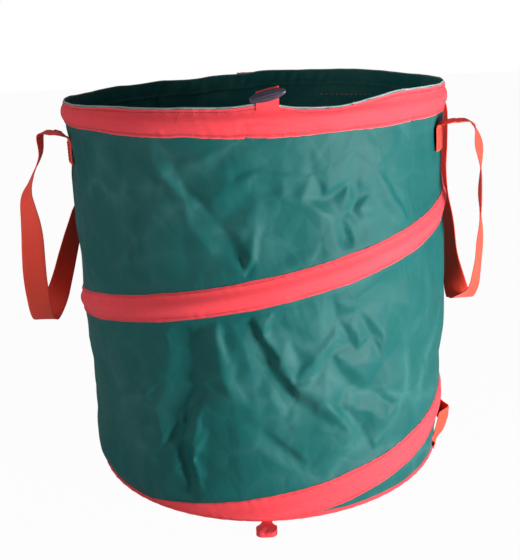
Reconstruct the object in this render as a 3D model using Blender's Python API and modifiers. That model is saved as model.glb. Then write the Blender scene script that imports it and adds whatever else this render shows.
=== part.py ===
"""Pop-up garden waste bag: a tube of coated cloth held open by a sprung steel wire in a tape casing.

The origin is at the middle of the base, on the ground. +Z is up, -Y is the front, and the
carrying handles are on -X and +X. Lengths are in metres and angles in degrees.
"""

import math

import bmesh
import bpy
from mathutils import Matrix, Vector

NAME = "garden_waste_bag"

# Sizes of the bag as a whole
BAG_RADIUS = 0.2215
BAG_HEIGHT = 0.460
CLOTH = 0.0005
BASE_CLOTH = 0.0012
GAP = 0.0003
FACETS = 60

# The wall, in rings that slide into each other as the spring is pressed down
WALL_RINGS = 7
RIM_RING_HEIGHT = 0.092
RING_LAP = 0.004
RING_STEP = CLOTH + GAP
STACK_LIFT = 0.001
RIM_EDGE = 0.0015

# Upright folds of the cloth between base and rim: how far it falls in at some corners of the rings.
# All rings share them, so that they still slide, and the cloth stays round where something is sewn on.
FOLDS = [(-180, 0.0032), (-168, 0.0), (-150, 0.0), (-138, 0.0034), (-126, 0.0), (-120, 0.0),
         (-108, 0.0035), (-96, 0.0004), (-84, 0.0026), (-72, 0.0), (-60, 0.0034), (-54, 0.0026),
         (-42, 0.0), (-30, 0.0), (-12, 0.0), (0, 0.0030), (12, 0.0), (30, 0.0), (42, 0.0028),
         (54, 0.0), (66, 0.0034), (78, 0.0006), (90, 0.0030), (102, 0.0), (108, 0.0018), (120, 0.0),
         (138, 0.0), (144, 0.0026), (150, 0.0), (168, 0.0), (180, 0.0032)]
FOLD_FADE = 0.018

# Spring wire and the tape casing sewn over it
WIRE_RADIUS = 0.00125
SLEEVE_RADIUS = 0.0014
SLEEVE_LENGTH = 0.016
TAPE_WIDTH = 0.031
TAPE = 0.0007
TAPE_DROP = 0.0005
ARCH_FOOT = 0.0095
ARCH_TOP = 0.0030
SPIRAL_RISE = 0.248
SPIRAL_MID_HEIGHT = 0.331
SPIRAL_TAIL = 0.003
SPIRAL_SAG = 0.0075
SPIRAL_SPREAD = 0.003
SAG_FROM = 250.0
SAG_TO = 390.0
WIRE_MARGIN = 0.010
TAIL_FLAT = 0.008

# Base binding, with the wire's lowest turn inside
BINDING_HEIGHT = 0.010
BINDING_ARCH_FOOT = 0.0038
BINDING_ARCH_TOP = 0.0022

# Hem turned in at the rim, and the seam that closes the tube
FACING_HEIGHT = 0.022
SEAM_WIDTH = 0.012
SEAM = 0.0008
SEAM_ANGLE = 129.0

# Webbing
WEBBING_WIDTH = 0.030
WEBBING = 0.0015
HANDLE_ANGLE = 21.0
HANDLE_SEWN_LOW = 0.0725
HANDLE_SEWN_HIGH = 0.0465
HINGE_GAP = 0.0008
HINGE_FALL = 38.0
HINGE_RUN = 0.0015
CURL_OUT = 0.25
CURL_UP = 0.6
CREST_BACK = 0.45
CREST_DROP = 0.0008

# Toggles and their tabs
TAB_WIDTH = 0.022
TAB = 0.0006
TAB_SEWN = 0.0065
TOGGLE_LENGTH = 0.036
TOGGLE_HEIGHT = 0.011
TOGGLE_DEPTH = 0.009
TOGGLE_RAISE = 0.0102
TOGGLE_END_SHARE = 0.42
TOGGLE_TIP_SHARE = 0.55
TOGGLE_SLICES = 12
TOGGLE_SIDES = 16
SLOT_WIDTH = 0.0246
SLOT = 0.0018
TAB_LOOP_HALF = 0.0020
TAB_LOOP_REACH = 0.0070
TAB_BEND_IN = 0.7
TAB_BEND_UP = 0.3
TAB_FOLD = 0.0001
TAB_HINGE_GAP = 0.0002
TAB_HINGE_RAISE = 0.0012
TOGGLE_TILT = 12.0
FRONT_TOGGLE_ANGLE = -84.25
REAR_TOGGLE_ANGLE = 95.75
REAR_TOGGLE_FLIP = 120.0

# Closure loops at the base
LOOP_WIDTH = 0.022
LOOP_LENGTH = 0.032
LOOP_SPACE = 0.0062
LOOP_NECK = 0.008
LOOP_STANDOFF = 0.0004
LOOP_LIFT = 0.0002
FRONT_LOOP_ANGLE = -89.25
REAR_LOOP_ANGLE = 90.75

# Tipping handle on the right of the base
BASE_HANDLE_WIDTH = 0.025
BASE_HANDLE_ANGLE = 14.0
BASE_HANDLE_HEIGHT = 0.050
BASE_HANDLE_STANDOFF = 0.0015
BASE_HANDLE_BULGE = 0.012
BASE_HANDLE_RAISE = 0.0015
BASE_HANDLE_KNEE = 0.003

# Worked out from the sizes above
HALF_FACET = math.pi / FACETS
ARCH = 2 * SLEEVE_RADIUS + 2 * GAP
WIRE_OFFSET = GAP + SLEEVE_RADIUS
STACK_Z = BINDING_HEIGHT + STACK_LIFT
RIM_RING_Z = BAG_HEIGHT - RIM_RING_HEIGHT
PITCH = (RIM_RING_Z - STACK_Z) / (WALL_RINGS - 1)
RIM_TAPE_HIGH = BAG_HEIGHT - RIM_EDGE
RIM_TAPE_LOW = RIM_TAPE_HIGH - TAPE_WIDTH
BASE_RING_RADIUS = BAG_RADIUS - (WALL_RINGS - 1) * RING_STEP
BINDING_OUTER = BASE_RING_RADIUS + GAP + ARCH + TAPE


# Building blocks

def material(name, colour, roughness, metallic=0.0):
    """A plain Principled material."""
    mat = bpy.data.materials.new(name)
    mat.use_nodes = True
    shader = mat.node_tree.nodes["Principled BSDF"]
    shader.inputs["Base Color"].default_value = (*colour, 1.0)
    shader.inputs["Roughness"].default_value = roughness
    shader.inputs["Metallic"].default_value = metallic
    return mat


def add_object(name, mesh, mat):
    """Put a mesh in the bag's collection under its own name, with its own copy of the material."""
    own = mat.copy()
    own.name = name
    mesh.materials.append(own)
    obj = bpy.data.objects.new(name, mesh)
    PARTS.objects.link(obj)
    return obj


def finish_mesh(name, bm):
    """Face a closed mesh outwards and hand it back as mesh data."""
    bmesh.ops.recalc_face_normals(bm, faces=bm.faces)
    if bm.calc_volume(signed=True) < 0:
        bmesh.ops.reverse_faces(bm, faces=bm.faces)
    mesh = bpy.data.meshes.new(name)
    bm.to_mesh(mesh)
    bm.free()
    return mesh


def outward(angle):
    """Unit vector away from the bag's axis at an angle."""
    return Vector((math.cos(math.radians(angle)), math.sin(math.radians(angle)), 0.0))


def sideways(angle):
    """Unit vector along the rim at an angle, counter-clockwise from above."""
    return Vector((-math.sin(math.radians(angle)), math.cos(math.radians(angle)), 0.0))


def on_facet(radius, angle, height):
    """Point at an angle on the many-sided ring whose corners lie at a radius."""
    facet = 2 * HALF_FACET
    within = math.radians(angle) % facet
    reach = radius * math.cos(HALF_FACET) / math.cos(within - HALF_FACET)
    point = outward(angle) * reach
    point.z = height
    return point


def loft(name, sections, mat, cuts=()):
    """Closed solid through sections that all have the same number of points. Where its sides twist,
    cuts says of each side whether its faces are halved from their first corner or their second."""
    bm = bmesh.new()
    rows = [[bm.verts.new(point) for point in section] for section in sections]
    count = len(rows[0])
    for low, high in zip(rows, rows[1:]):
        for i in range(count):
            j = (i + 1) % count
            corners = (low[i], low[j], high[j], high[i])
            if cuts:
                a, b, c, d = corners[cuts[i]:] + corners[:cuts[i]]
                bm.faces.new((a, b, c))
                bm.faces.new((a, c, d))
            else:
                bm.faces.new(corners)
    bm.faces.new(rows[0])
    bm.faces.new(rows[-1])
    return add_object(name, finish_mesh(name, bm), mat)


def turned(name, profile, mat):
    """Ring turned from a closed profile of (radius, height) that runs down its outer side."""
    bm = bmesh.new()
    verts = [bm.verts.new((radius, 0.0, height)) for radius, height in profile]
    for a, b in zip(verts, verts[1:] + verts[:1]):
        bm.edges.new((a, b))
    mesh = bpy.data.meshes.new(name)
    bm.to_mesh(mesh)
    bm.free()
    obj = add_object(name, mesh, mat)
    screw = obj.modifiers.new("turn", 'SCREW')
    screw.axis = 'Z'
    screw.angle = 2 * math.pi
    screw.steps = FACETS
    screw.render_steps = FACETS
    screw.use_merge_vertices = True
    screw.merge_threshold = 0.00001
    return obj


def fold_depth(angle):
    """How far the wall's cloth falls in at an angle, between its upright folds."""
    angle = (angle + 180.0) % 360.0 - 180.0
    for (start, deep), (end, deeper) in zip(FOLDS, FOLDS[1:]):
        if start <= angle <= end:
            return deep + (deeper - deep) * (angle - start) / (end - start)
    return FOLDS[0][1]


def cloth_ring(name, outer, thickness, rows, mat):
    """Ring of cloth through rows of (height, whether it follows the folds there), upwards."""
    bm = bmesh.new()
    skins = []
    for radius in (outer, outer - thickness):
        skin = []
        for height, folded in rows:
            angles = [360.0 * k / FACETS for k in range(FACETS)]
            skin.append([bm.verts.new(outward(a) * (radius - folded * fold_depth(a))
                                      + Vector((0, 0, height))) for a in angles])
        skins.append(skin)
    for k in range(FACETS):
        j = (k + 1) % FACETS
        for skin in skins:
            for i in range(len(rows) - 1):
                a, b, c, d = skin[i][k], skin[i][j], skin[i + 1][j], skin[i + 1][k]
                if rows[i][1] == rows[i + 1][1]:
                    bm.faces.new((a, b, c, d))
                else:
                    bm.faces.new((a, b, c))
                    bm.faces.new((a, c, d))
        for end in (0, -1):
            bm.faces.new((skins[0][end][k], skins[0][end][j], skins[1][end][j], skins[1][end][k]))
    return add_object(name, finish_mesh(name, bm), mat)


def wire(name, points, radius, mat):
    """Round wire through points, with flat ends."""
    curve = bpy.data.curves.new(name, 'CURVE')
    curve.dimensions = '3D'
    curve.bevel_depth = radius
    curve.bevel_resolution = 2
    curve.use_fill_caps = True
    spline = curve.splines.new('POLY')
    spline.points.add(len(points) - 1)
    for target, point in zip(spline.points, points):
        target.co = (*point, 1.0)
    obj = bpy.data.objects.new(name, curve)
    own = mat.copy()
    own.name = name
    curve.materials.append(own)
    PARTS.objects.link(obj)
    return obj


def through(points, steps):
    """Smooth run of points through some stations, each a tuple of numbers of one length."""
    out = []
    last = len(points) - 1
    for i in range(last):
        before = points[max(i - 1, 0)]
        after = points[min(i + 2, last)]
        for k in range(steps):
            t = k / steps
            out.append(tuple(
                0.5 * (2 * b + (c - a) * t + (2 * a - 5 * b + 4 * c - d) * t ** 2
                       + (3 * b - a - 3 * c + d) * t ** 3)
                for a, b, c, d in zip(before, points[i], points[i + 1], after)))
    out.append(tuple(points[last]))
    return out


def strap(name, stations, width, thickness, mat):
    """Flat strap through stations of (point, direction across the strap)."""
    sections = []
    last = len(stations) - 1
    for i, (point, across) in enumerate(stations):
        along = stations[min(i + 1, last)][0] - stations[max(i - 1, 0)][0]
        across = (across - along * across.dot(along) / along.length_squared).normalized()
        normal = across.cross(along.normalized())
        side = across * width / 2
        face = normal * thickness / 2
        sections.append([point - side - face, point + side - face,
                         point + side + face, point - side + face])
    # Both faces are halved along the same diagonal, so that a twisted strap keeps its thickness
    return loft(name, sections, mat, cuts=(0, 0, 1, 1))


def hollow_strip(name, outer, inner, half_width, place, mat):
    """Tape closed into a loop: two outlines of (out, up), stretched across the tape's width."""
    bm = bmesh.new()
    ends = []
    for u in (-half_width, half_width):
        ends.append([[bm.verts.new(place(u, *point)) for point in outline]
                     for outline in (outer, inner)])
    count = len(outer)
    for i in range(count):
        j = (i + 1) % count
        for line in (0, 1):
            bm.faces.new((ends[0][line][i], ends[0][line][j], ends[1][line][j], ends[1][line][i]))
        for end in ends:
            bm.faces.new((end[0][i], end[0][j], end[1][j], end[1][i]))
    return add_object(name, finish_mesh(name, bm), mat)


# Where the wall's rings are

def ring_radius(number):
    """Outer radius of a wall ring, counted from 0 at the base."""
    return BAG_RADIUS - (WALL_RINGS - 1 - number) * RING_STEP


def ring_low(number):
    """Lower edge of a wall ring; the lowest one stands in the binding."""
    return GAP if number == 0 else STACK_Z + number * PITCH


def wall_face(height):
    """Radius just outside the wall at a height, for what is sewn on it."""
    steps = min(max((height - STACK_Z) / PITCH, 0.0), WALL_RINGS - 1)
    return BASE_RING_RADIUS + GAP + steps * RING_STEP


def wall_inside(height):
    """Radius just inside the wall at a height."""
    steps = min(max((height - STACK_Z - RING_LAP) / PITCH - 1.0, 0.0), WALL_RINGS - 1)
    return BASE_RING_RADIUS - CLOTH - GAP + steps * RING_STEP


# The spiral, on an angle that runs on from turn to turn

def spiral_sag(angle):
    """Share, from 0 to 1, by which the lowest turn has sunk and its tape has spread."""
    share = min(max((-angle - SAG_FROM) / (SAG_TO - SAG_FROM), 0.0), 1.0)
    return share * share * (3.0 - 2.0 * share)


def spiral_height(angle):
    """Middle of the spiral tape at an angle."""
    return SPIRAL_MID_HEIGHT + SPIRAL_RISE * angle / 360.0 - SPIRAL_SAG * spiral_sag(angle)


def spiral_angle(height):
    """Angle at which the middle of the unsunk spiral tape is at a height."""
    return (height - SPIRAL_MID_HEIGHT) * 360.0 / SPIRAL_RISE


def spiral_edges(angle):
    """Lower and upper edge of the spiral tape, which runs out under the rim and into the base."""
    middle = spiral_height(angle)
    half = TAPE_WIDTH / 2 + SPIRAL_SPREAD * spiral_sag(angle)
    low = max(middle - half, BINDING_HEIGHT + GAP)
    high = min(middle + half, RIM_TAPE_LOW - GAP)
    return low, high


def spiral_wire_height(angle):
    """Height of the wire, which keeps clear of the tape's edges."""
    low, high = spiral_edges(angle)
    return min(max(spiral_height(angle), low + WIRE_MARGIN), high - WIRE_MARGIN)


def turn_angles(start, end):
    """Angles from start to end, with every corner of the rings between them."""
    facet = 360.0 / FACETS
    first = math.ceil(start / facet + 0.1)
    last = math.floor(end / facet - 0.1)
    return [start] + [facet * k for k in range(first, last + 1)] + [end]


# The pieces

def casing_profile(low, high, wire_z, foot, top, lift):
    """Outline of a tape casing as (offset from the wall, height), down the outside first."""
    side = TAPE_DROP
    outside = [(TAPE, high), (TAPE, wire_z + foot + side), (lift + TAPE, wire_z + top + side),
               (lift + TAPE, wire_z - top - side), (TAPE, wire_z - foot - side), (TAPE, low)]
    inside = [(0.0, low), (0.0, wire_z - foot), (lift, wire_z - top),
              (lift, wire_z + top), (0.0, wire_z + foot), (0.0, high)]
    return outside + inside


def make_wall(cloth):
    """The rings of the wall, the tube's seam, the hem turned in at the rim and the base."""
    for number in range(WALL_RINGS):
        low = ring_low(number)
        if number == 0:
            rows = [(low, False), (BASE_CLOTH + GAP, False), (STACK_Z - GAP, True)]
        else:
            rows = [(low, True)]
        if number == WALL_RINGS - 1:
            rows += [(RIM_TAPE_LOW - FOLD_FADE, True), (RIM_TAPE_LOW - GAP, False), (BAG_HEIGHT, False)]
        else:
            rows += [(ring_low(number + 1) + RING_LAP, True)]
        cloth_ring(f"wall_ring_{number + 1}", ring_radius(number), CLOTH, rows, cloth)
    facing = [(BAG_HEIGHT - FACING_HEIGHT, False), (BAG_HEIGHT - GAP, False)]
    cloth_ring("rim_facing", BAG_RADIUS - CLOTH - GAP, CLOTH, facing, cloth)

    bpy.ops.mesh.primitive_cylinder_add(
        vertices=FACETS, radius=BASE_RING_RADIUS - CLOTH - GAP, depth=BASE_CLOTH,
        location=(0.0, 0.0, BASE_CLOTH / 2))
    take_primitive("base_panel", cloth)

    seam_low = BASE_CLOTH + GAP
    seam_high = BAG_HEIGHT - FACING_HEIGHT - GAP
    bend_low = STACK_Z + RING_LAP + PITCH
    bend_high = min(bend_low + (WALL_RINGS - 1) * PITCH, seam_high - GAP)
    across = sideways(SEAM_ANGLE)
    stations = []
    for height in (seam_low, bend_low, bend_high, seam_high):
        reach = wall_inside(height) * math.cos(HALF_FACET) - SEAM / 2
        stations.append((outward(SEAM_ANGLE) * reach + Vector((0, 0, height)), across))
    strap("wall_seam", stations, SEAM_WIDTH, SEAM, cloth)


def take_primitive(name, mat):
    """Name the primitive just added and move it to the bag's collection."""
    obj = bpy.context.object
    for collection in list(obj.users_collection):
        collection.objects.unlink(obj)
    PARTS.objects.link(obj)
    obj.name = name
    obj.data.name = name
    own = mat.copy()
    own.name = name
    obj.data.materials.append(own)
    return obj


def make_rings(tape, steel):
    """Rim tape and base binding, each with its turn of wire and the sleeve that joins it."""
    rim_wire_z = (RIM_TAPE_LOW + RIM_TAPE_HIGH) / 2
    rim = casing_profile(RIM_TAPE_LOW, RIM_TAPE_HIGH, rim_wire_z, ARCH_FOOT, ARCH_TOP, ARCH)
    turned("rim_casing", [(BAG_RADIUS + GAP + off, z) for off, z in rim], tape)
    base_wire_z = BINDING_HEIGHT / 2
    binding = casing_profile(0.0, BINDING_HEIGHT, base_wire_z, BINDING_ARCH_FOOT, BINDING_ARCH_TOP, ARCH)
    turned("base_binding", [(BASE_RING_RADIUS + GAP + off, z) for off, z in binding], tape)

    for name, wall_radius, height in (("rim", BAG_RADIUS, rim_wire_z),
                                      ("base", BASE_RING_RADIUS, base_wire_z)):
        radius = wall_radius + WIRE_OFFSET
        middle = SEAM_ANGLE
        half = math.degrees((SLEEVE_LENGTH / 2 + GAP) / radius)
        points = [on_facet(radius, a, height) for a in turn_angles(middle + half, middle + 360 - half)]
        wire(f"{name}_spring_ring", points, WIRE_RADIUS, steel)
        centre = on_facet(radius, middle, height)
        ends = [centre + sideways(middle) * s * SLEEVE_LENGTH / 2 for s in (-1, 1)]
        wire(f"{name}_ring_sleeve", ends, SLEEVE_RADIUS, steel)


def make_spiral(tape, steel):
    """The tape that climbs the wall from the base seam to the rim, and the wire in it."""
    sunk = SPIRAL_SAG - SPIRAL_SPREAD
    start = spiral_angle(BINDING_HEIGHT + GAP + SPIRAL_TAIL - TAPE_WIDTH / 2 + sunk)
    end = spiral_angle(RIM_TAPE_LOW - GAP - SPIRAL_TAIL + TAPE_WIDTH / 2)
    sections = []
    for angle in turn_angles(start, end):
        low, high = spiral_edges(angle)
        spread = min(max((high - low - TAIL_FLAT) / (2 * WIRE_MARGIN - TAIL_FLAT), 0.0), 1.0)
        wire_z = spiral_wire_height(angle) if spread == 1.0 else (low + high) / 2
        room = min(wire_z - low, high - wire_z)
        foot = min(ARCH_FOOT - TAPE_DROP, 0.8 * room)
        top = foot * ARCH_TOP / ARCH_FOOT
        profile = casing_profile(low, high, wire_z, foot, top, ARCH * spread)
        sections.append([on_facet(wall_face(z) + off, angle, z) for off, z in profile])
    loft("spiral_casing", sections, tape)

    first = spiral_angle(BINDING_HEIGHT + GAP + 2 * WIRE_MARGIN - TAPE_WIDTH / 2 + sunk)
    last = spiral_angle(RIM_TAPE_LOW - GAP - 2 * WIRE_MARGIN + TAPE_WIDTH / 2)
    points = []
    for angle in turn_angles(first, last):
        height = spiral_wire_height(angle)
        points.append(on_facet(wall_face(height) + SLEEVE_RADIUS, angle, height))
    wire("spring_spiral", points, WIRE_RADIUS, steel)


# Each carrying handle hangs in a U. Stations down the front leg, round the fold at the bottom and up
# the rear leg give (stand-off from the wall, distance towards the rear, drop below the rim, twist).
HANDLES = {
    "left": {
        "side": -1,
        "hinge": (0.0198, 0.086, 0.0375),
        "peak": (0.0150, 0.0362),
        "route": [(0.0212, -0.086, 0.0593, 8), (0.0321, -0.085, 0.0799, 14), (0.0393, -0.084, 0.0973, 24),
                  (0.0446, -0.081, 0.1179, 50), (0.0469, -0.074, 0.1534, 70), (0.0572, -0.052, 0.2136, 84),
                  (0.0663, -0.018, 0.2714, 90), (0.0668, 0.000, 0.2900, 90), (0.0620, 0.016, 0.2830, 100),
                  (0.0546, 0.042, 0.2571, 130), (0.0441, 0.062, 0.2166, 140), (0.0294, 0.077, 0.1689, 152),
                  (0.0187, 0.085, 0.1294, 166)],
    },
    "right": {
        "side": 1,
        "hinge": (0.0235, 0.086, 0.0430),
        "peak": (0.0150, 0.0400),
        "route": [(0.0315, -0.086, 0.0658, 26), (0.0350, -0.085, 0.0943, 12), (0.0355, -0.082, 0.1249, 5),
                  (0.0377, -0.077, 0.1507, 12), (0.0401, -0.069, 0.1793, 24), (0.0407, -0.058, 0.2132, 27),
                  (0.0409, -0.036, 0.2468, 34), (0.0362, -0.010, 0.2712, 72), (0.0330, 0.002, 0.2770, 90),
                  (0.0310, 0.016, 0.2735, 118), (0.0275, 0.044, 0.2428, 146), (0.0249, 0.066, 0.1936, 153),
                  (0.0205, 0.082, 0.1397, 166)],
    },
}
ROUTE_STEPS = 4


def handle_across(side, twist):
    """Direction across a handle's webbing: along the bag's side at 0, away from the bag at 90."""
    turn = math.radians(twist)
    return Vector((side * math.sin(turn), math.cos(turn), 0.0))


def hinge_direction(side):
    """Way the webbing runs, out and down, where a handle meets its sewn ends."""
    fall = math.radians(HINGE_FALL)
    return Vector((side * math.cos(fall), 0.0, -math.sin(fall)))


def make_handles(webbing):
    """Two carrying handles, and the four ends that are sewn to the wall below the rim."""
    straight = Vector((0.0, 1.0, 0.0))
    for name, handle in HANDLES.items():
        side = handle["side"]
        stand_off, half_span, drop = handle["hinge"]
        route = [(stand_off, -half_span, drop, 0)] + handle["route"] + [(stand_off, half_span, drop, 180)]
        stations = []
        for stand_off, rear, drop, twist in through(route, ROUTE_STEPS):
            point = Vector((side * (BAG_RADIUS + stand_off), rear, BAG_HEIGHT - drop))
            stations.append((point, handle_across(side, twist)))
        step = hinge_direction(side)
        front, rear = (station[0] for station in (stations[0], stations[-1]))
        run_in = [(front + step * reach, straight) for reach in (HINGE_GAP / 2, HINGE_RUN)]
        run_out = [(rear + step * reach, -straight) for reach in (HINGE_RUN, HINGE_GAP / 2)]
        stations = run_in + stations[1:-1] + run_out
        strap(f"{name}_handle", stations, WEBBING_WIDTH, WEBBING, webbing)

        for end, rear in (("front", -1), ("rear", 1)):
            make_handle_end(f"{name}_handle_{end}_end", handle, rear, webbing)


def make_handle_end(name, handle, rear, webbing):
    """Sewn end of a handle: flat on the wall, then curling up and out to where the handle hangs."""
    side = handle["side"]
    stand_off, half_span, drop = handle["hinge"]
    angle = rear * HANDLE_ANGLE if side > 0 else 180 - rear * HANDLE_ANGLE
    low = BAG_HEIGHT - HANDLE_SEWN_LOW
    high = BAG_HEIGHT - HANDLE_SEWN_HIGH
    on_wall = outward(angle) * (BAG_RADIUS + GAP + WEBBING / 2)
    lift, peak_drop = handle["peak"]
    peak_z = BAG_HEIGHT - peak_drop
    tangent = sideways(angle)
    across = tangent if tangent.y > 0 else -tangent
    straight = Vector((0.0, 1.0, 0.0))
    curl = on_wall + Vector((side * CURL_OUT * lift, 0, 0))
    peak = Vector((side * (abs(on_wall.x) + lift), rear * half_span, peak_z))
    hinge = Vector((side * (BAG_RADIUS + stand_off), rear * half_span, BAG_HEIGHT - drop))
    step = hinge_direction(side)
    stations = [
        (Vector((on_wall.x, on_wall.y, low)), across),
        (Vector((on_wall.x, on_wall.y, high)), across),
        (Vector((curl.x, curl.y, high + CURL_UP * (peak_z - high))), across),
        (peak - Vector((side * CREST_BACK * lift, 0, CREST_DROP)), (across + straight).normalized()),
        (peak, straight),
        (hinge - step * HINGE_RUN, straight),
        (hinge - step * HINGE_GAP / 2, straight),
    ]
    strap(name, stations, WEBBING_WIDTH, WEBBING, webbing)


def toggle_hinge(angle):
    """Point on the rim's outside where a toggle's tab bends."""
    reach = BAG_RADIUS + GAP + TAPE + GAP + TAB / 2
    return outward(angle) * reach + Vector((0, 0, BAG_HEIGHT + TAB_HINGE_RAISE))


def make_toggle(name, angle, tilt, flip, tape, plastic):
    """A spindle toggle on its tape tab; flip turns both outwards over the rim."""
    hinge = toggle_hinge(angle)
    out = outward(angle)
    along = sideways(angle)
    turn = Matrix.Rotation(math.radians(flip), 3, along)
    lean = math.tan(math.radians(tilt))
    start = TAB
    low = TOGGLE_RAISE - TAB_LOOP_REACH
    high = TOGGLE_RAISE + TAB_LOOP_REACH

    def place(u, w, z):
        share = min((z - start) / (low - start), 1.0)
        return hinge + turn @ (along * u + out * w + Vector((0, 0, z + u * lean * share)))

    root_high = hinge.z - TAB_HINGE_GAP
    stations = [(Vector((hinge.x, hinge.y, z)), along) for z in (root_high - TAB_SEWN, root_high)]
    strap(f"{name}_toggle_root", stations, TAB_WIDTH, TAB, tape)

    half = TAB_LOOP_HALF
    shoulder = half + low / 2
    turn_in, turn_up = half * TAB_BEND_IN, half * TAB_BEND_UP
    outer = [(TAB / 2, start), (half, shoulder), (half, high - half), (turn_in, high - turn_up),
             (0.0, high), (-turn_in, high - turn_up), (-half, high - half), (-half, shoulder),
             (-TAB / 2, start)]
    thin = half - TAB
    turn_in, turn_up = thin * TAB_BEND_IN, 2 * half * TAB_BEND_UP
    inner = [(TAB_FOLD, low), (thin, shoulder + TAB), (thin, high - half), (turn_in, high - turn_up),
             (0.0, high - TAB), (-turn_in, high - turn_up), (-thin, high - half),
             (-thin, shoulder + TAB), (-TAB_FOLD, low)]
    hollow_strip(f"{name}_toggle_tab", outer, inner, TAB_WIDTH / 2, place, tape)

    # The tape runs between the spindle and the bar behind it
    slot_offset = 2 * half - 1.5 * TAB - TOGGLE_DEPTH / 2 - GAP
    centre_out = half - TAB / 2 - slot_offset
    centre = hinge + turn @ (out * centre_out + Vector((0, 0, TOGGLE_RAISE)))
    roll = turn @ Matrix.Rotation(math.radians(tilt), 3, out)
    across, facing, upright = roll @ along, roll @ out, roll @ Vector((0, 0, 1))
    sections = []
    for i in range(TOGGLE_SLICES + 1):
        share = -math.cos(math.pi * i / TOGGLE_SLICES)
        fullness = TOGGLE_END_SHARE + (1 - TOGGLE_END_SHARE) * (1 - share ** 2)
        rounding = TOGGLE_TIP_SHARE if i in (0, TOGGLE_SLICES) else 1.0
        ring = []
        for k in range(TOGGLE_SIDES):
            a = 2 * math.pi * k / TOGGLE_SIDES
            ring.append(centre + across * share * TOGGLE_LENGTH / 2
                        + facing * math.cos(a) * TOGGLE_DEPTH / 2 * fullness * rounding
                        + upright * math.sin(a) * TOGGLE_HEIGHT / 2 * fullness * rounding)
        sections.append(ring)
    body = loft(f"{name}_toggle", sections, plastic)

    corners = []
    for z in (-TOGGLE_HEIGHT, TOGGLE_HEIGHT):
        corners.append([centre + across * x * SLOT_WIDTH / 2
                        + facing * (slot_offset + y * SLOT / 2) + upright * z
                        for x, y in ((-1, -1), (1, -1), (1, 1), (-1, 1))])
    cutter = loft(f"{name}_slot_cutter", corners, plastic)
    PARTS.objects.unlink(cutter)
    CUTTERS.objects.link(cutter)
    cutter.hide_render = True
    cutter.display_type = 'WIRE'
    slot = body.modifiers.new("slot", 'BOOLEAN')
    slot.operation = 'DIFFERENCE'
    slot.object = cutter


def make_closure_loop(name, angle, tape):
    """Tape loop at the foot of the bag that catches a toggle when the bag is pressed flat."""
    reach = BINDING_OUTER + LOOP_STANDOFF
    out = outward(angle)
    along = sideways(angle)
    floor = LOOP_LIFT

    def place(u, w, z):
        return out * (reach + w) + along * u + Vector((0, 0, z))

    half = LOOP_SPACE / 2 + TAPE
    bend = LOOP_LENGTH - half
    arc = [math.radians(a) for a in (-90, -45, 0, 45, 90)]
    outer = [(0.0, floor)]
    outer += [(bend + half * math.cos(a), floor + half + half * math.sin(a)) for a in arc]
    outer += [(LOOP_NECK, floor + 2 * TAPE + GAP), (0.0, floor + 2 * TAPE + GAP)]
    small = LOOP_SPACE / 2
    inner = [(LOOP_NECK, floor + TAPE)]
    inner += [(bend + small * math.cos(a), floor + half + small * math.sin(a)) for a in arc]
    inner += [(LOOP_NECK + 3 * TAPE, floor + TAPE + 2 * GAP), (LOOP_NECK, floor + TAPE + GAP / 2)]
    hollow_strip(name, outer, inner, LOOP_WIDTH / 2, place, tape)


def make_base_handle(webbing):
    """Tipping handle: webbing up from the base seam, across and down again, with its two sewn ends."""
    span = BINDING_OUTER * math.sin(math.radians(BASE_HANDLE_ANGLE))
    half = BASE_HANDLE_WIDTH / 2
    inner_edge = math.sqrt(BINDING_OUTER ** 2 - (span - half) ** 2)
    hinge_x = inner_edge + BASE_HANDLE_STANDOFF
    hinge_z = BINDING_HEIGHT + BASE_HANDLE_RAISE
    top = BASE_HANDLE_HEIGHT
    start = hinge_z + HINGE_GAP / 2

    def lean(z):
        share = (z - hinge_z) / (top - hinge_z)
        return hinge_x + BASE_HANDLE_BULGE * math.sin(min(share, 1.0) * math.pi / 2)

    knee = start + (top - start) / 4
    leg = [((span - half, z), (span + half, z + rise)) for z, rise in (
        (start, 0.0), (knee, BASE_HANDLE_KNEE), (top - BASE_HANDLE_WIDTH, BASE_HANDLE_WIDTH))]
    bar = [((y, top - BASE_HANDLE_WIDTH), (y, top)) for y in ((span - half) / 2, 0.0)]
    edges = [[(-y, z) for y, z in pair] for pair in leg + bar]
    edges += [[(y, z) for y, z in pair] for pair in reversed(leg + bar[:-1])]
    sections = []
    for (inner_y, inner_z), (outer_y, outer_z) in edges:
        inner = Vector((lean(inner_z), inner_y, inner_z))
        outer = Vector((lean(outer_z), outer_y, outer_z))
        face = Vector((WEBBING / 2, 0, 0))
        sections.append([inner - face, outer - face, outer + face, inner + face])
    loft("base_handle", sections, webbing)

    low = BINDING_ARCH_TOP / 2
    high = BINDING_HEIGHT - BINDING_ARCH_TOP
    straight = Vector((0.0, 1.0, 0.0))
    for name, rear in (("front", -1), ("rear", 1)):
        angle = rear * BASE_HANDLE_ANGLE
        on_binding = outward(angle) * (BINDING_OUTER + GAP + WEBBING / 2)
        stations = [
            (Vector((on_binding.x, on_binding.y, low)), sideways(angle)),
            (Vector((on_binding.x, on_binding.y, high)), sideways(angle)),
            (Vector((hinge_x, rear * span, hinge_z - WEBBING)), straight),
            (Vector((hinge_x, rear * span, hinge_z - HINGE_GAP / 2)), straight),
        ]
        strap(f"base_handle_{name}_end", stations, BASE_HANDLE_WIDTH, WEBBING, webbing)


def clear_scene():
    """Remove what the file holds, so that the script can be run again."""
    for obj in list(bpy.data.objects):
        bpy.data.objects.remove(obj, do_unlink=True)
    for collection in list(bpy.data.collections):
        bpy.data.collections.remove(collection)


def new_collection(name):
    """Collection in the scene."""
    collection = bpy.data.collections.new(name)
    bpy.context.scene.collection.children.link(collection)
    return collection


clear_scene()
PARTS = new_collection(NAME)
CUTTERS = new_collection("cutters")

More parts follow.
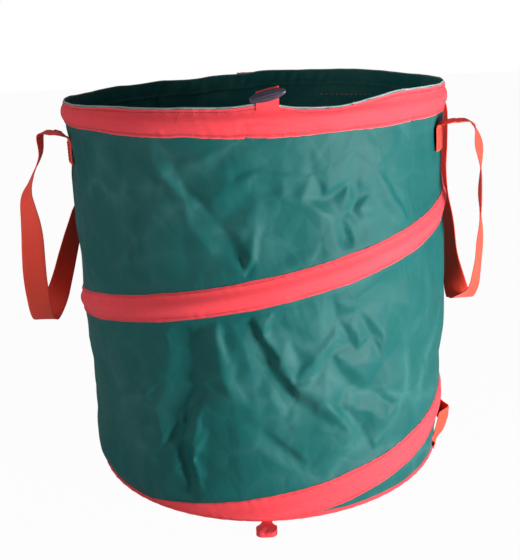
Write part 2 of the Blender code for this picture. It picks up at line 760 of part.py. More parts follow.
GREEN_CLOTH = material("green_cloth", (0.03, 0.19, 0.17), 0.55)
RED_TAPE = material("red_tape", (0.80, 0.06, 0.08), 0.75)
RED_WEBBING = material("red_webbing", (0.82, 0.07, 0.04), 0.8)
SPRING_STEEL = material("spring_steel", (0.55, 0.56, 0.58), 0.35, 1.0)
DARK_PLASTIC = material("dark_plastic", (0.03, 0.027, 0.045), 0.25)

make_wall(GREEN_CLOTH)
make_rings(RED_TAPE, SPRING_STEEL)
make_spiral(RED_TAPE, SPRING_STEEL)
make_handles(RED_WEBBING)
make_toggle("front", FRONT_TOGGLE_ANGLE, TOGGLE_TILT, 0.0, RED_TAPE, DARK_PLASTIC)
make_toggle("rear", REAR_TOGGLE_ANGLE, 0.0, REAR_TOGGLE_FLIP, RED_TAPE, DARK_PLASTIC)
make_closure_loop("front_closure_loop", FRONT_LOOP_ANGLE, RED_TAPE)
make_closure_loop("rear_closure_loop", REAR_LOOP_ANGLE, RED_TAPE)
make_base_handle(RED_WEBBING)
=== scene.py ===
"""Looks of the garden waste bag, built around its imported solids, in metres and in the part's own frame."""

import math

import bmesh
import bpy
import numpy as np
from mathutils import Matrix, Vector
from mathutils.geometry import delaunay_2d_cdt


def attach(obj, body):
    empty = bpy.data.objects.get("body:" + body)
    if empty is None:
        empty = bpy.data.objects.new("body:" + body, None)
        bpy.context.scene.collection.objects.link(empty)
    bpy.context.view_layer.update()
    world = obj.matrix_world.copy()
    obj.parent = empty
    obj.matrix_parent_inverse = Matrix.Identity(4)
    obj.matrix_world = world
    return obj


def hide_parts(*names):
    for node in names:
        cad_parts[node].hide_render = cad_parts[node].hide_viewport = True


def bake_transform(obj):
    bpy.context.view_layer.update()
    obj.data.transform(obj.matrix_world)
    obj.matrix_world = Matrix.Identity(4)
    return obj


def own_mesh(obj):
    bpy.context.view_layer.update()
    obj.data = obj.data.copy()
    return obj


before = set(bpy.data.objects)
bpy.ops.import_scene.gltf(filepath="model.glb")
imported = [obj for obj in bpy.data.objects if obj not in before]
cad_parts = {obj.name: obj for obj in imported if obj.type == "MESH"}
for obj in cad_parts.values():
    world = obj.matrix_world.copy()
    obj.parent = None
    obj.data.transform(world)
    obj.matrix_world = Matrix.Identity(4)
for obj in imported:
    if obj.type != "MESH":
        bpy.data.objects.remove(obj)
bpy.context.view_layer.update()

# Sizes that the solids have too
BAG_HEIGHT = 0.460
BAG_RADIUS = 0.2215
WALL_SPLIT = 0.433
CLOTH = 0.0005
TAPE = 0.0007
TAPE_WIDTH = 0.031
WIRE_RADIUS = 0.00125
WIRE_BULGE = 0.0036
SPIRAL_RISE = 0.248
SPIRAL_MID = 0.331
SPIRAL_SAG = 0.0078
SPIRAL_SPREAD = 0.003
RIM_TAPE_HIGH = 0.4585
RIM_TAPE_LOW = 0.4275
RIM_MIDDLE = (RIM_TAPE_HIGH + RIM_TAPE_LOW) / 2
RIM_WIRE_REACH = 0.2232
RIM_JOIN = 269.5
HEM_DEPTH = 0.0205
SEAM_ANGLE = 129.0
BINDING_RADIUS = 0.2211
BINDING_HEIGHT = 0.0048
WEBBING_WIDTH = 0.030
WEBBING = 0.0015
SEWN_LIFT = 0.0030
BASE_WEBBING_WIDTH = 0.025
BASE_HANDLE_ANGLE = 14.0

UP = np.array([0.0, 0.0, 1.0])
WORLD_LIGHT = 0.22

# Fineness of the meshes
WALL_ROWS = 144
TAPE_STEP = 0.0026
CRUMPLE_PITCH = 0.044

# How far the cloth's crumples stand out where the photograph shows it and elsewhere, and the most it may
CRUMPLE_SEEN = 0.0032
CRUMPLE_HIDDEN = 0.0042
CREASE_LIMIT = 0.0075

# How far the wall stands out at each height, before its creases
WALL_PROFILE = [(0.000, 0.2200), (0.012, 0.2212), (0.050, 0.2238), (0.110, 0.2254), (0.180, 0.2260),
                (0.260, 0.2256), (0.330, 0.2248), (0.395, 0.2236), (0.428, 0.2222), (0.460, 0.2218)]

# How far the rim tape's upper and lower edge have sunk or risen, in millimetres at angles around the rim
RIM_UPPER = [(-180, -3.5), (-160, -3.0), (-140, -1.9), (-130, -0.4), (-122, -0.9), (-103, -0.9), (-93, -1.0),
             (-88, 0.5), (-82, -0.9), (-78, -3.7), (-72, -5.5), (-66, -6.4), (-60, -3.7), (-53, 0.0),
             (-46, 2.8), (-36, 2.2), (-20, 0.5), (0, 0.0), (35, 0.0), (45, 1.9), (55, 2.7), (75, 2.3),
             (90, 2.4), (95, 0.0), (105, -0.6), (115, -3.5), (130, -2.4), (140, -3.8), (150, -3.0),
             (165, -5.0), (180, -3.5)]
RIM_LOWER = [(-180, 2.0), (-143, 5.0), (-132, 4.4), (-124, 3.1), (-111, 2.3), (-106, 3.0), (-100, 1.9),
             (-90, 0.6), (-85, -0.3), (-75, 0.8), (-52, 0.8), (-45, 1.1), (-20, 0.5), (180, 2.0)]

# How far the rim bows out, in millimetres at angles around it
RIM_OUT = [(-180, 4.5), (-155, 2.5), (-125, 0), (-60, 0), (-25, 1.6), (0, 2.4), (40, 1.6), (90, 0), (136, 0),
           (158, 2.0), (180, 4.5)]

# How deep the wall falls in between its upright folds, in millimetres at angles around the bag
FOLDS = [(-180, 3.2), (-168, 0), (-150, 0), (-138, 3.4), (-126, 0), (-120, 0), (-108, 3.5), (-96, 0.4), (-84, 2.6),
         (-72, 0), (-60, 3.4), (-54, 2.6), (-42, 0), (-30, 0), (-12, 0), (0, 3.0), (12, 0), (30, 0), (42, 2.8),
         (54, 0), (66, 3.4), (78, 0.6), (90, 3.0), (102, 0), (108, 1.8), (120, 0), (138, 0), (144, 2.6), (150, 0),
         (168, 0), (180, 3.2)]

# Creases of the wall in millimetres, as (height, reach, [(angle, height on the wall), ...]); a negative one is a
# valley
CREASES = [
    (4.2, 10, [(-100, 248), (-100, 215), (-99, 184), (-97, 153), (-92, 146)]),
    (-4.2, 13, [(-111, 243), (-108, 218), (-108, 189), (-110, 156), (-114, 121), (-119, 89)]),
    (6.2, 21, [(-91, 251), (-88, 227), (-84, 195), (-80, 166), (-73, 147), (-64, 100)]),
    (-4, 10, [(-90, 240), (-88, 209), (-86, 181), (-80, 147), (-74, 126)]),
    (-3.6, 8, [(-69, 262), (-67, 234), (-63, 202), (-61, 192)]),
    (-3.2, 7, [(-60, 238), (-56, 204), (-52, 170)]),
    (-4.2, 10, [(-69, 195), (-64, 157), (-57, 141), (-49, 117)]),
    (2.6, 8, [(-80, 169), (-74, 195), (-68, 214)]),
    (-6, 16, [(-51, 243), (-40, 195), (-26, 135)]),
    (2.4, 8, [(-31, 194), (-29, 230), (-32, 268)]),
    (-3.6, 9, [(-73, 389), (-71, 363), (-68, 364), (-63, 377)]),
    (-2.8, 7, [(-61, 384), (-60, 360), (-62, 348), (-66, 345)]),
    (-3, 7, [(-66, 345), (-64, 321), (-63, 300)]),
    (-2.6, 6, [(-59, 333), (-59, 304)]),
    (-2.6, 6, [(-72, 319), (-71, 288)]),
    (2.8, 7, [(-55, 387), (-49, 354), (-46, 341), (-42, 312)]),
    (-4.6, 12, [(-107, 378), (-98, 343), (-93, 307), (-91, 290)]),
    (3.4, 6, [(-89, 335), (-90, 311), (-92, 290)]),
    (2, 6, [(-97, 303), (-93, 295), (-89, 291)]),
    (3.6, 8, [(-118, 427), (-114, 400), (-107, 368)]),
    (2.2, 7, [(-99, 434), (-95, 429), (-91, 417)]),
    (2, 7, [(-110, 408), (-103, 405), (-95, 397)]),
    (2, 7, [(-94, 384), (-90, 391), (-85, 393)]),
    (-4, 12, [(-132, 430), (-130, 409), (-127, 374)]),
    (2.4, 6, [(-146, 433), (-141, 402), (-142, 360)]),
    (-3, 10, [(-163, 190), (-163, 134), (-152, 55)]),
    (2.2, 7, [(-157, 118), (-128, 148), (-120, 166)]),
    (2, 6, [(-120, 166), (-124, 145), (-129, 122)]),
    (-7.5, 19, [(-107, 184), (-110, 149), (-114, 98), (-113, 58), (-112, 26)]),
    (4.4, 11, [(-106, 143), (-109, 87), (-109, 38)]),
    (-3.2, 8, [(-90, 117), (-86, 96), (-83, 85), (-76, 67)]),
    (-4, 9, [(-67, 134), (-60, 102), (-55, 66)]),
    (2.4, 7, [(-47, 118), (-51, 97), (-55, 68)]),
    (3, 9, [(-121, 132), (-119, 92), (-116, 58)]),
    (2.2, 7, [(-152, 30), (-140, 18), (-131, 15)]),
    (1.6, 5, [(-88, 389), (-81, 389), (-74, 387)]),
    (1.6, 5, [(-88, 367), (-82, 369), (-77, 365)]),
    (2.6, 8, [(-163, 310), (-150, 285), (-138, 258)]),
    (2.2, 6, [(-128, 331), (-128, 297), (-130, 262)]),
    (-3, 9, [(-121, 356), (-123, 325), (-125, 284)]),
]

# Each handle from its front end to its rear end as (stand-off from the wall, towards the rear, drop below
# the rim, twist)
HANDLES = {
    "left": {
        "side": -1, "hinge": (0.0198, 0.086, 0.0375), "peak": (0.0150, 0.0362),
        "route": [(0.0212, -0.086, 0.0593, 8), (0.0321, -0.085, 0.0799, 14), (0.0393, -0.084, 0.0973, 24),
                  (0.0446, -0.081, 0.1179, 50), (0.0469, -0.074, 0.1534, 70), (0.0572, -0.052, 0.2136, 84),
                  (0.0663, -0.018, 0.2714, 90), (0.0668, 0.000, 0.2900, 90), (0.0620, 0.016, 0.2830, 100),
                  (0.0546, 0.042, 0.2571, 130), (0.0441, 0.062, 0.2166, 140), (0.0294, 0.077, 0.1689, 152),
                  (0.0187, 0.085, 0.1294, 166)],
    },
    "right": {
        "side": 1, "hinge": (0.0235, 0.086, 0.0430), "peak": (0.0150, 0.0400),
        "route": [(0.0315, -0.086, 0.0658, 26), (0.0350, -0.085, 0.0943, 12), (0.0355, -0.082, 0.1249, 5),
                  (0.0377, -0.077, 0.1507, 12), (0.0401, -0.069, 0.1793, 24), (0.0407, -0.058, 0.2132, 27),
                  (0.0409, -0.036, 0.2468, 34), (0.0362, -0.010, 0.2712, 72), (0.0330, 0.002, 0.2770, 90),
                  (0.0310, 0.016, 0.2735, 118), (0.0275, 0.044, 0.2428, 146), (0.0249, 0.066, 0.1936, 153),
                  (0.0205, 0.082, 0.1397, 166)],
    },
}
HANDLE_ANGLE = 21.0
HANDLE_SEWN = (0.3875, 0.4135)
HINGE_FALL = 38.0

TOGGLES = {
    "front": {"angle": -84.25, "tilt": 12.0, "flip": 0.0},
    "rear": {"angle": 95.75, "tilt": 0.0, "flip": 120.0},
}
TOGGLE_RAISE = 0.0074
TAB_REACH = 0.0064
TAB_WIDTH = 0.022
TAB = 0.0006
TAB_HALF = 0.0020
TAB_SEWN = 0.0068
TOGGLE_SIZE = (0.036, 0.009, 0.011)
SLOT_SIZE = (0.0246, 0.0018, 0.022)

LOOPS = {"front": -89.25, "rear": 90.75}
LOOP_REACH = 0.2215
LOOP_LENGTH = 0.032
LOOP_WIDTH = 0.022
LOOP_HALF = 0.0032


# Shader building blocks

def place_node(tree, kind, inputs=None, **settings):
    """Node in a tree; an input takes a value, or a socket to link from."""
    made = tree.nodes.new(kind)
    for key, value in settings.items():
        setattr(made, key, value)
    for key, value in (inputs or {}).items():
        if isinstance(value, bpy.types.NodeSocket):
            tree.links.new(value, made.inputs[key])
        else:
            made.inputs[key].default_value = value
    return made


def math_node(tree, operation, *values, clamp=False):
    """Output of a Math node on one to three values or sockets."""
    inputs = dict(enumerate(values))
    return place_node(tree, "ShaderNodeMath", inputs, operation=operation, use_clamp=clamp).outputs[0]


def map_range(tree, value, at_low, at_high, low=0.0, high=1.0):
    """Value that goes from at_low to at_high while another goes from low to high."""
    inputs = {"Value": value, "From Min": low, "From Max": high, "To Min": at_low, "To Max": at_high}
    return place_node(tree, "ShaderNodeMapRange", inputs).outputs[0]


def mix_colours(tree, share, colour, other, blend="MIX"):
    """Colour mixed from two."""
    inputs = {0: share, 6: colour, 7: other}
    return place_node(tree, "ShaderNodeMix", inputs, data_type="RGBA", blend_type=blend).outputs[2]


def noise_node(tree, place, scale, detail=2.0):
    """Level of a noise texture."""
    return place_node(tree, "ShaderNodeTexNoise", {"Vector": place, "Scale": scale, "Detail": detail}).outputs[0]


def new_group(name, inputs, outputs, kind="ShaderNodeTree"):
    """Empty node group with named sockets; gives its tree and the sockets inside to read and to fill."""
    tree = bpy.data.node_groups.new(name, kind)
    for way, sockets in (("INPUT", inputs), ("OUTPUT", outputs)):
        for label, socket_kind, *value in sockets:
            socket = tree.interface.new_socket(name=label, in_out=way, socket_type=f"NodeSocket{socket_kind}")
            if value:
                socket.default_value = value[0]
    return tree, tree.nodes.new("NodeGroupInput").outputs, tree.nodes.new("NodeGroupOutput").inputs


def use_group(tree, group, inputs):
    """A shader group's outputs inside a material."""
    return place_node(tree, "ShaderNodeGroup", inputs, node_tree=group).outputs


def wave(tree, place, pitch, turn=math.tau):
    """Sine wave with a pitch along a place."""
    turns = math_node(tree, "MULTIPLY", math_node(tree, "DIVIDE", place, pitch), turn)
    return math_node(tree, "SINE", turns)


def across_width(tree, given):
    """Parts of a map in metres, half the width and how far each point is from the middle line."""
    parts = place_node(tree, "ShaderNodeSeparateXYZ", {0: given["Map"]}).outputs
    half = math_node(tree, "MULTIPLY", given["Width"], 0.5)
    return parts, half, math_node(tree, "ABSOLUTE", math_node(tree, "SUBTRACT", parts["X"], half))


def plain_weave_group():
    """Over-and-under threads of a plain weave on a map in metres."""
    tree, given, out = new_group(
        "plain_weave", [("Map", "Vector"), ("Across", "Float", 0.0009), ("Along", "Float", 0.0009),
                        ("Unevenness", "Float", 0.3)], [("Height", "Float")])
    parts = place_node(tree, "ShaderNodeSeparateXYZ", {0: given["Map"]}).outputs
    waves = [wave(tree, parts[axis], given[pitch]) for axis, pitch in (("X", "Across"), ("Y", "Along"))]
    slub = math_node(tree, "MULTIPLY", noise_node(tree, given["Map"], 420.0, 1.0), given["Unevenness"])
    height = math_node(tree, "MULTIPLY_ADD", math_node(tree, "MULTIPLY", *waves), 0.5, 0.5)
    tree.links.new(math_node(tree, "ADD", height, slub), out["Height"])
    return tree


def ribbed_webbing_group():
    """Close cross ribs of woven webbing on a map in metres, with a firmer thread at both edges."""
    tree, given, out = new_group(
        "ribbed_webbing", [("Map", "Vector"), ("Rib", "Float", 0.0016), ("Yarn", "Float", 0.0019),
                           ("Width", "Float", WEBBING_WIDTH)], [("Height", "Float"), ("Edge", "Float")])
    parts, half, from_middle = across_width(tree, given)
    rib, yarn = (math_node(tree, "ABSOLUTE", wave(tree, parts[axis], given[pitch], math.pi))
                 for axis, pitch in (("Y", "Rib"), ("X", "Yarn")))
    height = math_node(tree, "MULTIPLY_ADD", rib, 0.75, math_node(tree, "MULTIPLY", yarn, 0.25))
    edge = math_node(tree, "GREATER_THAN", from_middle, math_node(tree, "MULTIPLY", half, 0.93))
    tree.links.new(height, out["Height"])
    tree.links.new(edge, out["Edge"])
    return tree


def fine_creases_group():
    """Small sharp creases of a coated cloth that has been crushed, and how pale each crease line is coloured, for wear
    and a painted sheen.
    """
    tree, given, out = new_group(
        "fine_creases", [("Place", "Vector"), ("Scale", "Float", 26.0), ("Warp", "Float", 0.02)],
        [("Height", "Float"), ("Wear", "Float")])
    drift = place_node(tree, "ShaderNodeTexNoise", {"Vector": given["Place"], "Scale": 9.0, "Detail": 2.0})
    centred = place_node(tree, "ShaderNodeVectorMath", {0: drift.outputs["Color"], 1: (0.5, 0.5, 0.5)},
                         operation="SUBTRACT").outputs[0]
    shifted = place_node(tree, "ShaderNodeVectorMath", {0: centred, "Scale": given["Warp"]},
                         operation="SCALE").outputs[0]
    warped = place_node(tree, "ShaderNodeVectorMath", {0: given["Place"], 1: shifted}).outputs[0]
    total = 0.0
    for share, finer in ((0.65, 1.0), (0.35, 2.3)):
        scale = math_node(tree, "MULTIPLY", given["Scale"], finer)
        cells = place_node(tree, "ShaderNodeTexVoronoi", {"Vector": warped, "Scale": scale},
                           feature="DISTANCE_TO_EDGE").outputs["Distance"]
        total = math_node(tree, "MULTIPLY_ADD", math_node(tree, "MULTIPLY", cells, 2.6, clamp=True), share, total)
    patchy = map_range(tree, noise_node(tree, given["Place"], 5.0, 3.0), 0.0, 1.0, 0.42, 0.62)
    low_spots = math_node(tree, "POWER", math_node(tree, "SUBTRACT", 1.0, total), 4.0)
    tree.links.new(total, out["Height"])
    tree.links.new(math_node(tree, "MULTIPLY", low_spots, patchy, clamp=True), out["Wear"])
    return tree


def colour_drift_group():
    """Slow change between two shades of one dye."""
    tree, given, out = new_group(
        "colour_drift", [("Place", "Vector"), ("Scale", "Float", 14.0), ("Shade", "Color"),
                         ("Other shade", "Color")], [("Color", "Color")])
    drift = noise_node(tree, given["Place"], given["Scale"], 4.0)
    tree.links.new(mix_colours(tree, drift, given["Shade"], given["Other shade"]), out["Color"])
    return tree


def sewn_edges_group():
    """Stitches near both edges of a tape, the groove they pull and the folded edge, on a map in metres."""
    tree, given, out = new_group(
        "sewn_edges", [("Map", "Vector"), ("Width", "Float", TAPE_WIDTH), ("Inset", "Float", 0.0032),
                       ("Pitch", "Float", 0.0040)], [("Stitch", "Float"), ("Groove", "Float"), ("Fold", "Float")])
    parts, half, from_middle = across_width(tree, given)
    from_edge = math_node(tree, "SUBTRACT", half, from_middle)
    off_line = math_node(tree, "ABSOLUTE", math_node(tree, "SUBTRACT", from_edge, given["Inset"]))
    dash = map_range(tree, wave(tree, parts["Y"], given["Pitch"]), 0.0, 1.0, -0.6, 0.0)
    on_line = map_range(tree, off_line, 1.0, 0.0, 0.0002, 0.0006)
    tree.links.new(math_node(tree, "MULTIPLY", on_line, dash), out["Stitch"])
    tree.links.new(map_range(tree, off_line, 1.0, 0.0, 0.0, 0.0020), out["Groove"])
    tree.links.new(map_range(tree, from_edge, 1.0, 0.0, 0.0004, 0.0010), out["Fold"])
    return tree


def new_material(name, roughness, sheen=0.0, specular=0.5, metallic=0.0, coat=0.0):
    """Material with a Principled shader; gives it, its tree, its shader's inputs and its coordinates."""
    mat = bpy.data.materials.new(name)
    mat.use_nodes = True
    shader = mat.node_tree.nodes["Principled BSDF"].inputs
    for label, value in (("Roughness", roughness), ("Metallic", metallic), ("Specular IOR Level", specular),
                         ("Sheen Weight", sheen), ("Sheen Roughness", 0.45), ("Coat Weight", coat)):
        shader[label].default_value = value
    return mat, mat.node_tree, shader, mat.node_tree.nodes.new("ShaderNodeTexCoord").outputs


def bump(tree, height, distance, strength, below=None):
    """Bump on top of another one."""
    inputs = {"Height": height, "Distance": distance, "Strength": strength}
    if below is not None:
        inputs["Normal"] = below
    return place_node(tree, "ShaderNodeBump", inputs).outputs[0]


def two_shades(tree, where, shade, other):
    """Colour that drifts between two shades."""
    return use_group(tree, COLOUR_DRIFT, {"Place": where["Object"], "Shade": (*shade, 1.0),
                                          "Other shade": (*other, 1.0)})["Color"]


def shaded(tree, colour, height, low, high):
    """Colour times low in the low spots and times high in the high ones."""
    return mix_colours(tree, 1.0, colour, map_range(tree, height, low, high), "MULTIPLY")


def coated_cloth(name, shade, other, sheen):
    """Coated oxford cloth: fine plain weave, crushed creases, a soft sheen, a paler colour along the creases for wear
    and painted sheen, and painted shade in the weave's hollows.
    """
    mat, tree, shader, where = new_material(name, 0.50, sheen=sheen, specular=0.13)
    creases = use_group(tree, FINE_CREASES, {"Place": where["Object"], "Scale": 13.0})
    weave = use_group(tree, PLAIN_WEAVE, {"Map": where["UV"], "Across": 0.0011, "Along": 0.0011})
    # Paler colour along the crease lines: wear, and a painted sheen on the folds.
    wear_and_sheen = math_node(tree, "MULTIPLY", creases["Wear"], 0.11)
    pale = mix_colours(tree, wear_and_sheen, two_shades(tree, where, shade, other), (0.20, 0.44, 0.43, 1.0))
    # Base colour darker in the weave's hollows and a little lighter on its threads: painted shade and light.
    tree.links.new(shaded(tree, pale, weave["Height"], 0.86, 1.06), shader["Base Color"])
    tree.links.new(map_range(tree, creases["Height"], 0.54, 0.42), shader["Roughness"])
    crushed = bump(tree, creases["Height"], 0.0028, 0.70)
    tree.links.new(bump(tree, weave["Height"], 0.00025, 0.35, crushed), shader["Normal"])
    return mat


def woven_tape(name, shade, other, sewn, pitch=0.0008):
    """Matt woven tape with a fine thread, painted shade in its weave's hollows and a little puckering; sewn ones have
    a seam at both edges, with painted shade in the groove it pulls and a painted highlight on the folded edges.
    """
    mat, tree, shader, where = new_material(name, 0.74, sheen=0.10, specular=0.22)
    weave = use_group(tree, PLAIN_WEAVE, {"Map": where["UV"], "Across": pitch, "Along": pitch})
    colour = two_shades(tree, where, shade, other)
    creases = use_group(tree, FINE_CREASES, {"Place": where["Object"], "Scale": 60.0})
    soft = bump(tree, creases["Height"], 0.0004, 0.4)
    if sewn:
        seam = use_group(tree, SEWN_EDGES, {"Map": where["UV"]})
        # Paler colour on the folded edges: painted highlight.
        folded = mix_colours(tree, math_node(tree, "MULTIPLY", seam["Fold"], 0.45), colour, (0.90, 0.20, 0.22, 1.0))
        # Stitches as darker dashes of thread, and painted shade in the groove they pull.
        stitches_and_groove_shade = math_node(tree, "MULTIPLY_ADD", seam["Stitch"], -0.42, map_range(tree, seam["Groove"], 1.0, 0.86))
        colour = mix_colours(tree, 1.0, folded, stitches_and_groove_shade, "MULTIPLY")
        soft = bump(tree, math_node(tree, "SUBTRACT", 1.0, seam["Groove"]), 0.0007, 0.6, soft)
    # Base colour darker in the weave's hollows and a little lighter on its threads: painted shade and light.
    tree.links.new(shaded(tree, colour, weave["Height"], 0.84, 1.06), shader["Base Color"])
    tree.links.new(bump(tree, weave["Height"], 0.0002, 0.5, soft), shader["Normal"])
    return mat


def ribbed_webbing(name, shade, other):
    """Polypropylene webbing with close cross ribs, and painted shade between them."""
    mat, tree, shader, where = new_material(name, 0.58, sheen=0.12, specular=0.4)
    ribs = use_group(tree, RIBBED_WEBBING, {"Map": where["UV"]})
    colour = two_shades(tree, where, shade, other)
    # Base colour darker between the ribs and a little lighter on them: painted shade and light.
    tree.links.new(shaded(tree, colour, ribs["Height"], 0.74, 1.05), shader["Base Color"])
    firm = math_node(tree, "MULTIPLY_ADD", ribs["Edge"], 0.3, ribs["Height"])
    tree.links.new(bump(tree, firm, 0.0004, 0.75), shader["Normal"])
    return mat


def sewing_thread(name, shade):
    """Twisted sewing thread."""
    mat, tree, shader, where = new_material(name, 0.6, sheen=0.15)
    twist = noise_node(tree, where["Object"], 900.0)
    tree.links.new(shaded(tree, (*shade, 1.0), twist, 0.75, 1.15), shader["Base Color"])
    return mat


def moulded_plastic(name, shade):
    """Glossy dark plastic with faint flow marks."""
    mat, tree, shader, where = new_material(name, 0.2, coat=0.35)
    marks = noise_node(tree, where["Object"], 260.0, 3.0)
    tree.links.new(shaded(tree, (*shade, 1.0), marks, 0.85, 1.15), shader["Base Color"])
    tree.links.new(map_range(tree, marks, 0.14, 0.3), shader["Roughness"])
    tree.links.new(bump(tree, marks, 0.0001, 0.25), shader["Normal"])
    return mat


def drawn_steel(name):
    """Spring wire with fine drawing marks."""
    mat, tree, shader, where = new_material(name, 0.34, metallic=1.0)
    marks = noise_node(tree, where["Object"], 500.0, 4.0)
    tone = mix_colours(tree, marks, (0.42, 0.43, 0.45, 1.0), (0.66, 0.67, 0.69, 1.0))
    tree.links.new(tone, shader["Base Color"])
    tree.links.new(map_range(tree, marks, 0.26, 0.44), shader["Roughness"])
    tree.links.new(bump(tree, marks, 0.0001, 0.3), shader["Normal"])
    return mat


# Mesh building blocks

def new_object(name, data):
    """Object in the scene."""
    obj = bpy.data.objects.new(name, data)
    bpy.context.scene.collection.objects.link(obj)
    return obj


def evaluated_mesh(obj):
    """Mesh of an object with its modifiers applied; the object goes."""
    mesh = bpy.data.meshes.new_from_object(obj.evaluated_get(bpy.context.evaluated_depsgraph_get()))
    bpy.data.objects.remove(obj)
    return mesh


def smooth_object(name, mesh, mat, sharp):
    """Object from a mesh, smooth but for its sharp edges."""
    mesh.polygons.foreach_set("use_smooth", [True] * len(mesh.polygons))
    mesh.set_sharp_from_angle(angle=math.radians(sharp))
    mesh.materials.clear()
    mesh.materials.append(mat)
    return new_object(name, mesh)


def close_faces(name, verts, faces, mat, sharp, loops_uv=None):
    """Smooth object from a closed mesh, faced outwards."""
    mesh = bpy.data.meshes.new(name)
    mesh.from_pydata(verts.tolist(), [], faces)
    if loops_uv is not None:
        layer = mesh.uv_layers.new(name="UVMap")
        layer.data.foreach_set("uv", loops_uv.astype(np.float32).ravel())
    bm = bmesh.new()
    bm.from_mesh(mesh)
    bmesh.ops.recalc_face_normals(bm, faces=bm.faces)
    if bm.calc_volume(signed=True) < 0:
        bmesh.ops.reverse_faces(bm, faces=bm.faces)
    bm.to_mesh(mesh)
    bm.free()
    return smooth_object(name, mesh, mat, sharp)


def unit(vectors):
    """Vectors at length 1."""
    return vectors / np.linalg.norm(vectors, axis=-1, keepdims=True)


def travel(points):
    """Distance run along points, at each of them."""
    return np.concatenate([[0.0], np.cumsum(np.linalg.norm(np.diff(points, axis=0), axis=1))])


def grid_faces(rows, cols, steps, across):
    """Row, column and corners of each face of a grid of points, which closes on itself past its last one."""
    i, j = np.indices((steps, across)).reshape(2, -1)
    after, beside = (i + 1) % rows, (j + 1) % cols
    return i, j, np.stack([i * cols + j, after * cols + j, after * cols + beside, i * cols + beside], axis=1)


def ribbon(name, top, bottom, mat, ring=False, sharp=40.0, span=None):
    """Strip between two grids of points, (along, across, 3) each, closed at its sides and its ends.

    Its map is in metres: across the strip, over a span if one is given, then along it. A ring's last
    row meets its first."""
    rows, cols = top.shape[:2]
    count = rows * cols
    middle = top[:, cols // 2]
    along = travel(np.concatenate([middle, middle[:1]]) if ring else middle)
    across = travel(top[0])
    across *= span / across[-1] if span else 1.0
    steps = rows if ring else rows - 1
    i, j, face = grid_faces(rows, cols, steps, cols - 1)
    uv = np.stack([np.stack([across[c], along[r]], axis=1)
                   for r, c in ((i, j), (i + 1, j), (i + 1, j + 1), (i, j + 1))], axis=1)
    faces, maps = [face, face[:, ::-1] + count], [uv, uv[:, ::-1]]

    def close_side(first, second, *uv_lines):
        faces.append(np.stack([first, second, second + count, first + count], axis=1))
        near, far = (np.stack(np.broadcast_arrays(u, v), axis=1) for u, v in uv_lines)
        maps.append(np.stack([near, far, far, near], axis=1))

    i, j = np.arange(steps), np.arange(cols - 1)
    for col in (0, cols - 1):
        close_side(i * cols + col, (i + 1) % rows * cols + col, (across[col], along[i]), (across[col], along[i + 1]))
    for row in () if ring else (0, rows - 1):
        close_side(row * cols + j, row * cols + j + 1, (across[j], along[row]), (across[j + 1], along[row]))
    verts = np.concatenate([top.reshape(-1, 3), bottom.reshape(-1, 3)])
    return close_faces(name, verts, np.concatenate(faces).tolist(), mat, sharp, np.concatenate(maps))


def loft(name, rings, mat, ring=False, sharp=50.0):
    """Object through rings of points, with flat ends unless it is a ring itself."""
    count, sides = rings.shape[:2]
    faces = grid_faces(count, sides, count if ring else count - 1, sides)[2].tolist()
    if not ring:
        faces += [list(range(sides)), list(range((count - 1) * sides, count * sides))]
    return close_faces(name, rings.reshape(-1, 3), faces, mat, sharp)


def tube(name, path, radius, mat, ring=False, sides=8):
    """Round wire or thread along points."""
    along = unit(np.roll(path, -1, axis=0) - np.roll(path, 1, axis=0) if ring else np.gradient(path, axis=0))
    guide = np.where(np.abs(along[:, 2:3]) > 0.9, [[1.0, 0.0, 0.0]], [[0.0, 0.0, 1.0]])
    side = unit(np.cross(along, guide))
    up = np.cross(side, along)
    turn = np.linspace(0, math.tau, sides, endpoint=False)[None, :, None]
    rings = path[:, None] + radius * (np.cos(turn) * side[:, None] + np.sin(turn) * up[:, None])
    return loft(name, rings, mat, ring)


def polar(radius, angle, height):
    """Points from distances, angles in degrees and heights."""
    radius, angle, height = np.broadcast_arrays(radius, np.radians(angle), height)
    return np.stack([radius * np.cos(angle), radius * np.sin(angle), height], axis=-1)


def facing_out(angle):
    """Outward directions at angles."""
    return polar(1.0, angle, 0.0)


def along_rim(out):
    """Direction to the left of an outward one, seen from above."""
    return np.array([-out[1], out[0], 0.0])


def circle(count):
    """Angles evenly around the bag."""
    return np.linspace(0, 360, count, endpoint=False)


def half_turn(angle):
    """Angle brought between -180 and 180 degrees."""
    return (np.asarray(angle, float) + 180.0) % 360.0 - 180.0


def around_bag(angle):
    """Distance around the bag at an angle."""
    return np.radians(angle) * BAG_RADIUS


def outward(out, across, reach, height):
    """Points at distances to the left of an outward direction, along it and up."""
    return np.stack(np.broadcast_arrays(across, reach, height), axis=-1) @ np.array([along_rim(out), out, UP])


def across_tape(side, inner, count):
    """Places across a tape from -1 to 1, closest together at its sides."""
    return np.concatenate([[-1.0, -side], np.linspace(-inner, inner, count), [side, 1.0]])[None]


def eased(x, stations):
    """Smooth curve through (x, y) stations."""
    xs, ys = np.array(stations, float).T
    slopes = np.gradient(ys, xs)
    i = np.clip(np.searchsorted(xs, x) - 1, 0, len(xs) - 2)
    span = xs[i + 1] - xs[i]
    t = np.clip((x - xs[i]) / span, 0, 1)
    return ((2 * t ** 3 - 3 * t ** 2 + 1) * ys[i] + (t ** 3 - 2 * t ** 2 + t) * span * slopes[i]
            + (3 * t ** 2 - 2 * t ** 3) * ys[i + 1] + (t ** 3 - t ** 2) * span * slopes[i + 1])


def fade(x, low, high):
    """0 below low, 1 above high, and smooth between them."""
    t = np.clip((x - low) / (high - low), 0, 1)
    return t * t * (3 - 2 * t)


def bell(x, reach, power=2):
    """1 at 0, and less the farther from it."""
    return np.exp(-np.abs(x / reach) ** power)


